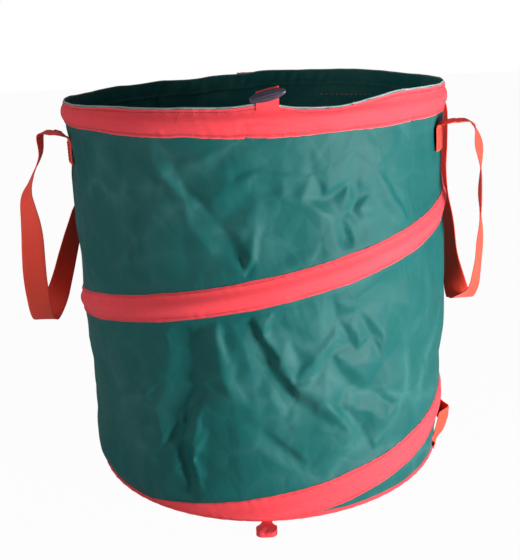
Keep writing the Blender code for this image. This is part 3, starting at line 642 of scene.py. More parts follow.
def uneven(x, seed, pitch):
    """Smooth random numbers from -1 to 1 along a line, new about every pitch."""
    rng = np.random.default_rng(seed)
    total = np.zeros_like(np.asarray(x, float))
    for share in (1.0, 0.6, 0.35):
        turn = math.tau / (pitch * share * 2)
        total = total + share * np.sin(x * turn * rng.uniform(0.8, 1.2) + rng.uniform(0, math.tau))
    return total / 1.95


# The wall and what is sewn on it

def spiral_height(angle):
    """Middle of the spiral tape on an angle that runs on from turn to turn; the lowest turn has sunk."""
    return SPIRAL_MID + SPIRAL_RISE * angle / 360.0 - SPIRAL_SAG * fade(-angle, 250, 390)


def spiral_angle(height):
    """Angle at which the middle of the spiral tape is at a height."""
    return (height - SPIRAL_MID) * 360.0 / SPIRAL_RISE


def from_spiral(angle, height):
    """Distance above or below the nearest turn of the spiral tape's middle."""
    nearest = np.full(np.broadcast(angle, height).shape, np.inf)
    for turn in (-720, -360, 0, 360):
        gap = height - spiral_height(angle + turn)
        nearest = np.where(np.abs(gap) < np.abs(nearest), gap, nearest)
    return nearest


def wall_radius(angle, height):
    """Radius of the wall without its creases."""
    held = fade(height, 0.002, 0.05) * (1 - fade(height, 0.380, 0.425))
    free = fade(np.abs(from_spiral(angle, height)), 0.013, 0.040)
    turned = half_turn(angle)
    depth = 0.00075 * np.interp(turned, *np.transpose(FOLDS))
    right = bell(turned + 5, 22)
    foot = 0.0055 * bell(half_turn(turned + 162), 22) * fade(height, 0.002, 0.020)
    flare = rim_shift(angle, RIM_OUT) * fade(height, 0.385, 0.430) + foot * (1 - fade(height, 0.025, 0.080))
    return eased(height, WALL_PROFILE) + flare - held * free * (depth * (1 - right) + 0.0004 - 0.0022 * right)


def rim_shift(angle, edge):
    """How far one edge of the rim tape has moved up or down at an angle."""
    return 0.001 * eased(half_turn(angle), edge)


def crumple_points():
    """Scattered points of a crushed cloth, how far each stands out, and the folds that join some of them."""
    rng = np.random.default_rng(23)
    points, lifts, folds = [], [], []
    for size, reach, line in CREASES:
        size, reach = 0.001 * size, 0.001 * reach
        at = np.array([(around_bag(a), 0.001 * z) for a, z in line])
        for k, point in enumerate(at):
            if k:
                folds.append((len(points) - 1, len(points)))
            points.append(point)
            lifts.append(size * (0.6 if k in (0, len(at) - 1) else 1.5))
        for (x0, z0), (x1, z1) in zip(at, at[1:]):
            span = math.hypot(x1 - x0, z1 - z0)
            aside = np.array([z0 - z1, x1 - x0]) / span * reach
            for share in (1.0, -1.9):
                points.append(np.array([(x0 + x1) / 2, (z0 + z1) / 2]) + aside * share)
                lifts.append(-0.15 * size)
    start, stop = around_bag(np.array([SEAM_ANGLE - 372, SEAM_ANGLE + 12]))
    for x in np.arange(start, stop, CRUMPLE_PITCH):
        for z in np.arange(-0.03, BAG_HEIGHT + 0.03, CRUMPLE_PITCH):
            point = np.array([x, z]) + rng.uniform(-0.45, 0.45, 2) * CRUMPLE_PITCH
            seen = -165 < math.degrees(point[0] / BAG_RADIUS) < -15
            lift = rng.uniform(-1, 1) * (CRUMPLE_SEEN if seen else CRUMPLE_HIDDEN)
            if np.linalg.norm(np.array(points) - point, axis=1).min() > 0.5 * CRUMPLE_PITCH:
                points.append(point)
                lifts.append(lift)
    return np.array(points), np.array(lifts), folds


def crumpled(along, height):
    """How far points of a crushed cloth stand out: flat facets between sharp folds."""
    points, lifts, folds = crumple_points()
    corners, _, facets, sources, _, _ = delaunay_2d_cdt([Vector(p) for p in points], folds, [], 0, 1e-6)
    corners = np.array([tuple(c) for c in corners])
    lift = np.array([lifts[source[0]] if source else lifts[np.linalg.norm(points - corner, axis=1).argmin()]
                     for corner, source in zip(corners, sources)])
    total = np.zeros(along.shape)
    for facet in facets:
        (x0, z0), (x1, z1), (x2, z2) = corners[facet]
        area = (x1 - x0) * (z2 - z0) - (x2 - x0) * (z1 - z0)
        if abs(area) < 1e-9:
            continue
        u = ((along - x0) * (z2 - z0) - (x2 - x0) * (height - z0)) / area
        v = ((x1 - x0) * (height - z0) - (along - x0) * (z1 - z0)) / area
        inside = (u >= -1e-6) & (v >= -1e-6) & (u + v <= 1 + 1e-6)
        a, b, c = lift[facet]
        total[inside] = (a + (b - a) * u + (c - a) * v)[inside]
    return total


def wall_creases(angle, height):
    """How far each point of the wall stands out by its creases; nothing near what is sewn on it."""
    along = around_bag(angle)
    total = crumpled(along + 0.0016 * uneven(height, 5, 0.03), height + 0.0016 * uneven(along, 6, 0.03))
    beside = sum(np.roll(total, step, axis) for axis in (0, 1) for step in (1, -1))
    total[1:-1, 1:-1] = (0.72 * total + 0.07 * beside)[1:-1, 1:-1]
    beyond = np.abs(from_spiral(angle, height)) - TAPE_WIDTH / 2
    pucker = np.abs(uneven(along + 0.35 * height, 7, 0.012)) - 0.4
    hanging = np.where(from_spiral(angle, height) < 0, 0.0024, 0.0011) * (0.6 + 0.4 * uneven(along, 8, 0.09))
    total += hanging * pucker * bell(np.clip(beyond, 0, 1), 0.022, 1)
    total = CREASE_LIMIT * np.tanh(total / CREASE_LIMIT)
    tape_clear = fade(beyond, 0.001, 0.015)
    rim_clear = 1 - fade(height, 0.408, 0.4285)
    base_clear = fade(height, 0.004, 0.030)
    seam_gap = around_bag(np.abs(half_turn(angle - SEAM_ANGLE)))
    return total * tape_clear * rim_clear * base_clear * fade(seam_gap, 0.006, 0.030)


def make_wall(cloth):
    """The cloth tube, from the base to the rim, finest where it is most looked at."""
    angles = np.concatenate([np.linspace(SEAM_ANGLE - 360, -168, 30, endpoint=False),
                             np.linspace(-168, -12, 232, endpoint=False),
                             np.linspace(-12, SEAM_ANGLE, 70, endpoint=False)])
    heights = np.concatenate([np.linspace(0.0006, WALL_SPLIT, WALL_ROWS),
                              np.linspace(WALL_SPLIT, BAG_HEIGHT, 10)[1:]])
    angle, height = np.meshgrid(angles, heights, indexing="ij")
    radius = wall_radius(angle, height) + wall_creases(angle, height)
    outer = polar(radius, angle, height + rim_shift(angle, RIM_UPPER) * fade(height, 0.425, BAG_HEIGHT))
    around = np.roll(outer, -1, axis=0) - np.roll(outer, 1, axis=0)
    inner = outer - CLOTH * unit(np.cross(around, np.gradient(outer, axis=1)))
    hem = ribbon("wall_cloth_top", outer[:, WALL_ROWS - 1:], inner[:, WALL_ROWS - 1:], cloth, ring=True, sharp=75)
    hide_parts("wall_ring_7")
    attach(hem, "rim")
    wall = ribbon("wall_cloth", outer[:, :WALL_ROWS], inner[:, :WALL_ROWS], cloth, ring=True, sharp=75)
    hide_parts(*(f"wall_ring_{n}" for n in range(1, 7)))
    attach(wall, "base")
    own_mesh(wall)

    heights = np.linspace(0.004, 0.4375, 90)[:, None]
    across = np.array([-0.006, -0.0055, -0.002, 0.002, 0.0055, 0.006])[None]
    angle = SEAM_ANGLE + np.degrees(across / BAG_RADIUS)
    inside = wall_radius(SEAM_ANGLE, heights) - CLOTH - 0.0004
    lift = np.where(np.abs(across) > 0.0058, 0.0001, 0.0011)
    waver = 0.0005 * uneven(heights, 4, 0.02) * (lift > 0.0005)
    seam = ribbon("wall_seam_tape", polar(inside - lift - waver, angle, heights), polar(inside, angle, heights), cloth)
    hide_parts("wall_seam")
    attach(seam, "base")
    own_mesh(seam)


def make_base(cloth):
    """The round base, a little uneven where the cloth is slack."""
    reaches = np.concatenate([[0.0015], np.linspace(0.010, 0.2165, 34)])
    angle, reach = np.meshgrid(circle(120), reaches, indexing="ij")
    x, y = reach * np.cos(np.radians(angle)), reach * np.sin(np.radians(angle))
    slack = 0.0011 * (1 + uneven(x + 0.4 * y, 31, 0.055) * uneven(y - 0.3 * x, 32, 0.07))
    slack += 0.0009 * np.abs(uneven(0.8 * x - 0.7 * y, 33, 0.06))
    slack *= fade(reach, 0.0, 0.02) * (1 - fade(reach, 0.19, 0.214))
    base = ribbon("base_cloth", polar(reach, angle, 0.0012 + slack), polar(reach, angle, 0.0001), cloth,
                  ring=True, sharp=60)
    # The ring closes to a disc over the small hole in its middle
    bm = bmesh.new()
    bm.from_mesh(base.data)
    bmesh.ops.remove_doubles(bm, verts=bm.verts, dist=0.000001)
    inner = [f for f in bm.faces if all(v.co.xy.length < 0.0016 for v in f.verts)]
    bmesh.ops.delete(bm, geom=inner, context="FACES_ONLY")
    bmesh.ops.holes_fill(bm, edges=[e for e in bm.edges if e.is_boundary], sides=0)
    bmesh.ops.recalc_face_normals(bm, faces=bm.faces)
    bm.to_mesh(base.data)
    bm.free()
    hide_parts("base_panel")
    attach(base, "base")


def tape_section():
    """Places across a tape from -1 to 1, and its thickness at each."""
    share = across_tape(0.985, 0.95, 21)
    return share, TAPE * (1 - 0.55 * fade(np.abs(share), 0.95, 1.0))


def make_rim_tape(tape):
    """Tape around the rim, ruffled along its sewn edges and darted where its ends meet."""
    angle = circle(720)[:, None]
    along = around_bag(angle)
    share, thickness = tape_section()
    up = share * (RIM_TAPE_HIGH - RIM_TAPE_LOW) / 2
    near_edge = fade(np.abs(up), 0.006, 0.0135)
    ruffle = 0.00035 * uneven(along + 0.3 * up, 41, 0.008) * (0.35 + near_edge)
    ruffle = ruffle + 0.0005 * uneven(along + 1.5 * up, 42, 0.035)
    past = along - around_bag(RIM_JOIN)
    dart = 0.0016 * bell(past, 0.0035) * fade(0.004 - up, 0.0, 0.008) * fade(up, -0.0155, -0.009)
    fold = bell(up - 0.0015 + 0.09 * past, 0.0016)
    ruffle = ruffle - dart - 0.0014 * fold * fade(past, 0.0, 0.012) * fade(-past, -0.055, -0.035)
    ruffle = ruffle - 0.0005 * bell(up - 0.0105, 0.0012) * (1 + uneven(along, 49, 0.006))
    waver = 0.0006 * uneven(along, 43, 0.05) * near_edge * np.where(up < 0, 1.0, 0.35)
    share = (share + 1) / 2
    sunk = rim_shift(angle, RIM_UPPER) * share + rim_shift(angle, RIM_LOWER) * (1 - share)
    height = RIM_MIDDLE + up + waver + sunk
    swell = WIRE_BULGE * bell(height - RIM_MIDDLE, 0.0078, 3)
    under = 0.864 * swell
    radius = BAG_RADIUS + 0.0004 + rim_shift(angle, RIM_OUT)
    top = polar(radius + np.maximum(thickness + swell + ruffle, under + 0.0002), angle, height)
    casing = ribbon("rim_casing_tape", top, polar(radius + under - 0.0002, angle, height), tape, ring=True,
                    span=TAPE_WIDTH)
    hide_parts("rim_casing")
    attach(casing, "rim")


def make_rim_edge(sheen_painted_cloth, steel):
    """The folded edge above the rim tape, green cloth painted pale for its sheen, and the turn of wire in the tape."""
    angle = circle(480)
    along = around_bag(angle)
    lift = 0.0003 * uneven(along, 44, 0.03) + rim_shift(angle, RIM_UPPER)
    reach = BAG_RADIUS - 0.0002 + 0.0003 * uneven(along, 45, 0.02) + rim_shift(angle, RIM_OUT)
    edge = tube("rim_folded_edge", polar(reach, angle, BAG_HEIGHT - 0.0004 + lift), 0.0009, sheen_painted_cloth, ring=True)
    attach(edge, "rim")
    path = polar(RIM_WIRE_REACH + rim_shift(angle, RIM_OUT), angle, RIM_MIDDLE)
    wire = tube("rim_spring_wire", path, WIRE_RADIUS, steel, ring=True)
    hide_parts("rim_spring_ring")
    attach(wire, "rim")


def make_hem(cloth):
    """Hem of the tube, turned in behind the rim tape."""
    angle = circle(480)[:, None]
    along = around_bag(angle)
    down = np.linspace(0, 1, 13)[None]
    height = BAG_HEIGHT - 0.0008 - HEM_DEPTH * down + rim_shift(angle, RIM_UPPER)
    pull = 0.0007 * (1 + uneven(along + 0.2 * height, 46, 0.011)) * np.sin(np.pi * np.minimum(down * 1.25, 1)) ** 0.5
    free_edge = 0.0012 * np.abs(uneven(along, 47, 0.018)) * fade(down, 0.75, 1.0)
    radius = BAG_RADIUS - 0.0011 - pull - free_edge + rim_shift(angle, RIM_OUT)
    height = height + 0.0005 * uneven(along, 48, 0.03) * down
    facing = ribbon("rim_turned_hem", polar(radius, angle, height), polar(radius + CLOTH, angle, height),
                    cloth, ring=True)
    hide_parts("rim_facing")
    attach(facing, "rim")


def spiral_edges(angle):
    """Lower and upper edge of the spiral tape, which runs out under the rim tape and into the base seam."""
    middle = spiral_height(angle)
    half = TAPE_WIDTH / 2 + SPIRAL_SPREAD * fade(-angle, 300, 400)
    return (np.maximum(middle - half, BINDING_HEIGHT - 0.001),
            np.minimum(middle + half, RIM_TAPE_LOW + 0.0015))


def make_spiral(tape, steel):
    """Tape that climbs the wall from the base to the rim, and the spring wire in it."""
    start = spiral_angle(BINDING_HEIGHT + 0.002 - TAPE_WIDTH / 2 + SPIRAL_SAG - SPIRAL_SPREAD)
    end = spiral_angle(RIM_TAPE_LOW - 0.001 + TAPE_WIDTH / 2)
    count = int(around_bag(end - start) / TAPE_STEP)
    angle = np.linspace(start, end, count)[:, None]
    along = around_bag(angle)
    low, high = spiral_edges(angle)
    share, thickness = tape_section()
    height = (low + high) / 2 + share * (high - low) / 2
    from_middle = height - spiral_height(angle)
    swell = WIRE_BULGE * fade(high - low, 0.012, 0.027) * bell(from_middle, 0.0072, 2.4)
    near_edge = fade(np.abs(share), 0.45, 0.85)
    ruffle = 0.00042 * uneven(along + 0.4 * from_middle, 51, 0.0075) * (0.3 + near_edge)
    ruffle = ruffle + 0.0006 * uneven(along + 2.2 * from_middle, 52, 0.042)
    height = height + 0.0005 * uneven(along, 53, 0.04) * near_edge * np.sign(from_middle)
    radius = wall_radius(angle, height) + 0.0004
    top = polar(radius + swell + thickness + np.maximum(ruffle, -0.0003), angle, height)
    casing = ribbon("spiral_tape", top, polar(radius + 0.9 * swell - 0.0003, angle, height), tape, span=TAPE_WIDTH)
    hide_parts("spiral_casing")
    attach(casing, "base")
    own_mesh(casing)

    angle = np.linspace(start + 34, end - 34, 600)
    low, high = spiral_edges(angle)
    height = np.clip(spiral_height(angle), low + 0.008, high - 0.008)
    path = polar(wall_radius(angle, height) + 0.0019, angle, height)
    wire = tube("spring_wire_spiral", path, WIRE_RADIUS, steel)
    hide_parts("spring_spiral")
    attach(wire, "base")
    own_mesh(wire)


def make_binding(tape):
    """Narrow tape folded over the seam around the base."""
    angle = circle(640)[:, None]
    along = around_bag(angle)
    share = across_tape(0.97, 0.9, 11)
    height = BINDING_HEIGHT * (0.5 + 0.49 * share)
    swell = 0.0019 * (1 - share ** 2) ** 0.7
    ruffle = 0.0004 * uneven(along + height, 61, 0.009)
    height = height + 0.0006 * (1 + uneven(along, 62, 0.04)) * fade(share, 0.0, 1.0)
    binding = ribbon("base_binding_tape", polar(BINDING_RADIUS - 0.0012 + swell + ruffle, angle, height),
                     polar(BINDING_RADIUS - 0.0020 + 0.5 * swell, angle, height), tape, ring=True)
    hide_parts("base_binding")
    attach(binding, "base")


# Handles

def through(stations, steps):
    """Smooth run through stations of numbers, by steps between each pair."""
    points = np.array(stations, float)
    points = np.concatenate([points[:1], points, points[-1:]])
    out = []
    for a, b, c, d in zip(points, points[1:], points[2:], points[3:]):
        for t in np.arange(steps) / steps:
            out.append(0.5 * (2 * b + (c - a) * t + (2 * a - 5 * b + 4 * c - d) * t ** 2
                              + (3 * b - a - 3 * c + d) * t ** 3))
    return np.array([*out, points[-1]])


def strap_faces(points, across, width, thickness, seed=0):
    """Both faces of a strap that runs through points, with rounded sides and a slight curl."""
    along = unit(np.gradient(points, axis=0))
    across = unit(across - along * np.sum(across * along, axis=1)[:, None])
    normal = np.cross(across, along)[:, None]
    share = np.array([-1.0, -0.98, -0.93, -0.7, -0.4, 0.0, 0.4, 0.7, 0.93, 0.98, 1.0])[None, :, None]
    thick = np.array([0.35, 0.75, 1.0, 1.0, 1.0, 1.0, 1.0, 1.0, 1.0, 0.75, 0.35])[None, :, None]
    curl = 0.0005 * uneven(travel(points), 70 + seed, 0.05)[:, None, None] * share ** 2
    middle = points[:, None] + across[:, None] * share * width / 2 + normal * curl
    offset = normal * thick * thickness / 2
    return middle + offset, middle - offset


def handle_hinge(handle, rear=0.0):
    """Point where a handle leaves its sewn end at the front or rear, or the middle between the two."""
    out, half_span, drop = handle["hinge"]
    return np.array([handle["side"] * (BAG_RADIUS + out), rear * half_span, BAG_HEIGHT - drop])


def hinge_direction(side, fall):
    """Way out and down, by fall degrees, where a handle meets its sewn ends."""
    fall = math.radians(fall)
    return np.array([side * math.cos(fall), 0.0, -math.sin(fall)])


def sewn_angle(side, rear):
    """Angle on the wall at which one end of a handle is sewn."""
    return rear * HANDLE_ANGLE if side > 0 else 180 - rear * HANDLE_ANGLE


def handle_stations(handle):
    """Middle line and direction across, from the front end on the wall to the rear one."""
    side = handle["side"]
    lift, drop = handle["peak"]
    peak_z = BAG_HEIGHT - drop
    low, high = HANDLE_SEWN

    def sewn(rear):
        normal = facing_out(sewn_angle(side, rear))
        wall = normal * (BAG_RADIUS + SEWN_LIFT + WEBBING / 2)
        tangent = along_rim(normal)
        tangent *= np.sign(tangent[1])
        straight = np.array([0.0, 1.0, 0.0])
        hinge = handle_hinge(handle, rear)
        peak = np.array([side * (abs(wall[0]) + lift), hinge[1], peak_z])
        return [(wall + [0, 0, low], tangent), (wall + [0, 0, (low + high) / 2], tangent),
                (wall + [0, 0, high], tangent),
                (wall + [side * 0.25 * lift, 0, high + 0.6 * (peak_z - high)], tangent),
                (peak - [side * 0.45 * lift, 0, 0.0008], tangent + straight), (peak, straight),
                (hinge - hinge_direction(side, HINGE_FALL) * 0.0015, straight)]

    rows = [(*point, *unit(across)) for point, across in sewn(-1)]
    for reach, rear, drop, twist in handle["route"]:
        turn = math.radians(twist)
        rows.append((side * (BAG_RADIUS + reach), rear, BAG_HEIGHT - drop, side * math.sin(turn), math.cos(turn), 0.0))
    rows += [(*point, *unit(-across)) for point, across in reversed(sewn(1))]
    smooth = through(rows, 9)
    return smooth[:, :3], smooth[:, 3:]


def make_handles(webbing):
    """Two carrying handles, one length of webbing each, bent where they leave their sewn ends."""
    for number, (name, handle) in enumerate(HANDLES.items()):
        points, across = handle_stations(handle)
        top, bottom = strap_faces(points, across, WEBBING_WIDTH, WEBBING, number)
        strap = ribbon(f"{name}_handle_webbing", top, bottom, webbing)
        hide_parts(f"{name}_handle", f"{name}_handle_front_end", f"{name}_handle_rear_end")
        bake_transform(strap)


# Toggles, their tabs and the loops that catch them

def tab_frame(toggle):
    """Hinge point of a toggle's tab, its direction along the rim, outwards, and its turn over the rim."""
    out = facing_out(toggle["angle"])
    along = along_rim(out)
    turn = np.array(Matrix.Rotation(math.radians(toggle["flip"]), 3, Vector(along)))
    return out * (BAG_RADIUS + 0.0016) + UP * (BAG_HEIGHT + 0.0012), along, out, turn


def folded_tape(stations, thickness):
    """Distance and height of both faces of a tape that runs through (distance, height) stations."""
    path = through(stations, 6)
    along = unit(np.gradient(path, axis=0))
    normal = np.stack([along[:, 1], -along[:, 0]], axis=1) * thickness / 2
    return [(face[:, :1], face[:, 1:]) for face in (path + normal, path - normal)]


def make_toggle_tab(name, toggle, tape):
    """Tape from the rim that runs round the toggle's bar and back, sewn to itself."""
    hinge, along, out, turn = tab_frame(toggle)
    lean = math.tan(math.radians(toggle["tilt"]))
    low, high = TOGGLE_RAISE - TAB_REACH + 0.0004, TOGGLE_RAISE + TAB_REACH
    half = TAB_HALF - TAB / 2
    stations = [(-0.0010, -TAB_SEWN), (-0.0010, -TAB_SEWN / 2), (-0.0008, -0.0015), (0.0004, 0.0012),
                (half, low + 0.002), (half, TOGGLE_RAISE), (half, high - 0.003), (half * 0.6, high - 0.0008),
                (0.0, high - TAB / 2), (-half * 0.6, high - 0.0008), (-half, high - 0.003), (-half, TOGGLE_RAISE),
                (-half, low + 0.002), (-0.0004, 0.0016)]
    across = across_tape(0.97, 0.85, 9) * TAB_WIDTH / 2
    faces = []
    for w, z in folded_tape(stations, TAB):
        share = np.clip(z / 0.0035, 0, 1)
        z = z + across * lean * share + 0.0002 * uneven(across + z, 81, 0.006)
        w = w + 0.0003 * uneven(across - z, 82, 0.008) * share
        local = outward(out, across, w, z)
        mix = fade(z, -0.0006, 0.0010)[:, :, None]
        faces.append(hinge + local * (1 - mix) + local @ turn.T * mix)
    tab = ribbon(f"{name}_toggle_tape", *faces, tape)
    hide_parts(f"{name}_toggle_tab", f"{name}_toggle_root")
    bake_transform(tab)


def make_toggle(name, toggle, plastic):
    """Spindle with blunt ends and long grooves, and the slot that its tape runs through."""
    hinge, along, out, turn = tab_frame(toggle)
    slot_offset = 2 * TAB_HALF - 1.5 * TAB - TOGGLE_SIZE[1] / 2 - 0.0003
    roll = np.array(Matrix.Rotation(math.radians(toggle["tilt"]), 3, Vector(out)))
    axes = np.array([turn @ (roll @ v) for v in (along, out, UP)])
    centre = hinge + turn @ (out * (TAB_HALF - TAB / 2 - slot_offset) + UP * TOGGLE_RAISE)
    share = -np.cos(np.linspace(0, np.pi, 44))[:, None]
    turns = np.linspace(0, math.tau, 64, endpoint=False)[None]
    fullness = (0.42 + 0.58 * (1 - share ** 2)) * (1 - fade(np.abs(share), 0.93, 1.0) * 0.55)
    grooves = [np.abs((turns - groove + np.pi) % math.tau - np.pi) for groove in (-0.62, 0.0, 0.62)]
    cut = 0.10 * sum(bell(off, 0.12) for off in grooves) * (1 - fade(np.abs(share), 0.62, 0.82))
    full = fullness * (1 - cut)
    local = np.stack(np.broadcast_arrays(share, np.cos(turns) * full, np.sin(turns) * full), axis=-1)
    whole = loft("whole_spindle", centre + local * np.array(TOGGLE_SIZE) / 2 @ axes, plastic)

    corners = np.array([(x, y, z) for x in (-0.5, 0.5) for y in (-0.5, 0.5) for z in (-0.5, 0.5)])
    sides = [(0, 1, 3, 2), (4, 5, 7, 6), (0, 1, 5, 4), (2, 3, 7, 6), (0, 2, 6, 4), (1, 3, 7, 5)]
    cutter = close_faces("slot", centre + (corners * SLOT_SIZE + [0, slot_offset, 0]) @ axes, sides, plastic, 50.0)
    slot = whole.modifiers.new("slot", "BOOLEAN")
    slot.operation = "DIFFERENCE"
    slot.object = cutter
    spindle_piece = smooth_object(f"{name}_toggle_spindle", evaluated_mesh(whole), plastic, 35)
    bpy.data.objects.remove(cutter)
    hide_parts(f"{name}_toggle")
    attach(spindle_piece, f"{name}_toggle")


def make_closure_loop(name, angle, tape):
    """Loop of tape at the foot of the bag, a little crushed where it lies on the ground."""
    out = facing_out(angle)
    half = LOOP_HALF - TAPE / 2
    end, middle = LOOP_LENGTH - LOOP_HALF, LOOP_HALF + 0.0002
    stations = [(-0.0012, 0.0008), (0.004, 0.0006), (0.012, 0.0006), (0.020, 0.0006)]
    stations += [(end + half * math.cos(a), middle + half * math.sin(a))
                 for a in np.radians([-90, -50, -10, 30, 62, 92])]
    stations += [(0.021, 0.0062), (0.0145, 0.0040), (0.0085, 0.0020), (0.004, 0.0015), (-0.0012, 0.0016)]
    across = across_tape(0.97, 0.88, 13) * LOOP_WIDTH / 2
    faces = []
    for w, z in folded_tape(stations, TAPE):
        swell = fade(w, 0.006, 0.022)
        crush = 0.0005 * uneven(across + 0.5 * w, 91, 0.008) * swell * fade(z, 0.001, 0.004)
        narrow = 0.55 + 0.50 * fade(w, 0.002, 0.016) - 0.12 * fade(w, 0.026, 0.033)
        w = w - 0.0035 * fade(w, 0.018, 0.030) * (across / across.max()) ** 4
        faces.append(outward(out, across * narrow, LOOP_REACH + w + crush, z + crush))
    loop = ribbon(f"{name}_closure_tape", *faces, tape)
    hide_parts(f"{name}_closure_loop")
    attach(loop, f"{name}_loop")


def make_base_handle(webbing):
    """Tipping handle: webbing up from the base seam, over in two folded corners and down again."""
    half, span = BASE_WEBBING_WIDTH / 2, BINDING_RADIUS * math.sin(math.radians(BASE_HANDLE_ANGLE))
    hinge_x = math.sqrt(BINDING_RADIUS ** 2 - (span - half) ** 2) + 0.0015
    hinge_z, top_z = 0.0115, 0.050
    rows = [(span - half, inner_z, span + half, outer_z) for inner_z, outer_z in (
        (0.0005, 0.0005), (0.004, 0.004), (0.008, 0.008), (hinge_z, hinge_z), (0.017, 0.0195),
        (top_z - 2 * half - 0.002, top_z - 0.004), (top_z - 2 * half, top_z))]
    rows += [((span - half) * y, top_z - 2 * half, span * y, top_z) for y in (0.75, 0.5, 0.25, 0.0)]
    rows = np.array(rows)
    rows = through(np.concatenate([rows * (-1, 1, -1, 1), rows[-2::-1]]), 5)
    share = np.array([0.0, 0.02, 0.08, 0.3, 0.5, 0.7, 0.92, 0.98, 1.0])[None]
    thick = np.array([0.4, 0.8, 1, 1, 1, 1, 1, 0.8, 0.4]) * WEBBING / 2
    y = rows[:, 0:1] + (rows[:, 2:3] - rows[:, 0:1]) * share
    z = rows[:, 1:2] + (rows[:, 3:4] - rows[:, 1:2]) * share
    bulge = np.clip((z - hinge_z) / (top_z - hinge_z), 0, 1)
    x = hinge_x + 0.009 * np.sin(bulge * math.pi / 2)
    on_seam = np.sqrt(np.maximum((BINDING_RADIUS + 0.0014) ** 2 - y ** 2, 0.0))
    x = np.where(z < hinge_z, x + (on_seam - hinge_x) * fade(hinge_z - z, 0.0, 0.008), x)
    x = x + 0.0006 * uneven(y + 0.7 * z, 95, 0.018) * fade(z, hinge_z, top_z)
    turned_out = 0.0175 * fade(y, -span - half, half - span) - 0.0095
    x = x + turned_out * fade(-y, 0.02, 0.045) * fade(z, 0.005, 0.016)
    front, back = np.stack([x + thick, y, z], axis=-1), np.stack([x - thick, y, z], axis=-1)
    handle = ribbon("base_handle_webbing", front, back, webbing)
    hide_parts("base_handle", "base_handle_front_end", "base_handle_rear_end")
    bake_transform(handle)


# Stitching

def stitch_tree():
    """Geometry Nodes tree that lays one short arched stitch after another along a line."""
    tree, given, out = new_group(
        "stitch_row", [("Geometry", "Geometry"), ("Pitch", "Float", 0.0036), ("Stitch length", "Float", 0.0027),
                       ("Thread radius", "Float", 0.00028), ("Arch", "Float", 0.0005), ("Thread", "Material")],
        [("Geometry", "Geometry")], "GeometryNodeTree")

    def node(kind, inputs, **settings):
        return place_node(tree, kind, inputs, **settings).outputs[0]

    line = node("GeometryNodeMeshToCurve", {"Mesh": given["Geometry"]})
    spaced = node("GeometryNodeResampleCurve", {"Curve": line, "Length": given["Pitch"]}, mode="LENGTH")
    half = math_node(tree, "MULTIPLY", given["Stitch length"], 0.5)
    start = node("ShaderNodeCombineXYZ", {"X": math_node(tree, "MULTIPLY", half, -1.0), "Z": -0.0001})
    crown = node("ShaderNodeCombineXYZ", {"Z": math_node(tree, "MULTIPLY", given["Arch"], 2.0)})
    finish = node("ShaderNodeCombineXYZ", {"X": half, "Z": -0.0001})
    arch = node("GeometryNodeCurveQuadraticBezier", {"Resolution": 4, "Start": start, "Middle": crown, "End": finish})
    round_thread = node("GeometryNodeCurvePrimitiveCircle", {"Resolution": 5, "Radius": given["Thread radius"]})
    stitch = node("GeometryNodeCurveToMesh", {"Curve": arch, "Profile Curve": round_thread, "Fill Caps": True})
    facing = node("GeometryNodeInputNamedAttribute", {"Name": "facing"}, data_type="FLOAT_VECTOR")
    lined = node("FunctionNodeAlignRotationToVector", {"Vector": node("GeometryNodeInputTangent", {})}, axis="X")
    stood = node("FunctionNodeAlignRotationToVector", {"Rotation": lined, "Vector": facing}, axis="Z", pivot_axis="X")
    laid = node("GeometryNodeInstanceOnPoints", {"Points": spaced, "Instance": stitch, "Rotation": stood})
    real = node("GeometryNodeRealizeInstances", {"Geometry": laid})
    tree.links.new(node("GeometryNodeSetMaterial", {"Geometry": real, "Material": given["Thread"]}), out[0])
    return tree


def sew(name, lines, thread, pitch=0.0036, length=0.0027):
    """Rows of stitches along lines of (points, facings, whether it is a ring), as one plain mesh."""
    verts, edges, facings = [], [], []
    for points, facing, ring in lines:
        first, last = len(verts), len(verts) + len(points) - 1
        verts += points.tolist()
        facings += facing.tolist()
        edges += [(k, k + 1) for k in range(first, last)] + ([(last, first)] if ring else [])
    mesh = bpy.data.meshes.new(f"{name}_lines")
    mesh.from_pydata(verts, edges, [])
    attribute = mesh.attributes.new("facing", "FLOAT_VECTOR", "POINT")
    attribute.data.foreach_set("vector", np.array(facings, np.float32).ravel())
    guide = new_object(f"{name}_lines", mesh)
    rows = guide.modifiers.new("stitches", "NODES")
    rows.node_group = STITCH_ROW
    sockets = {s.name: s.identifier for s in STITCH_ROW.interface.items_tree if s.in_out == "INPUT"}
    for label, value in (("Pitch", pitch), ("Stitch length", length), ("Thread", thread)):
        rows[sockets[label]] = value
    made = evaluated_mesh(guide)
    made.polygons.foreach_set("use_smooth", [True] * len(made.polygons))
    return new_object(name, made)


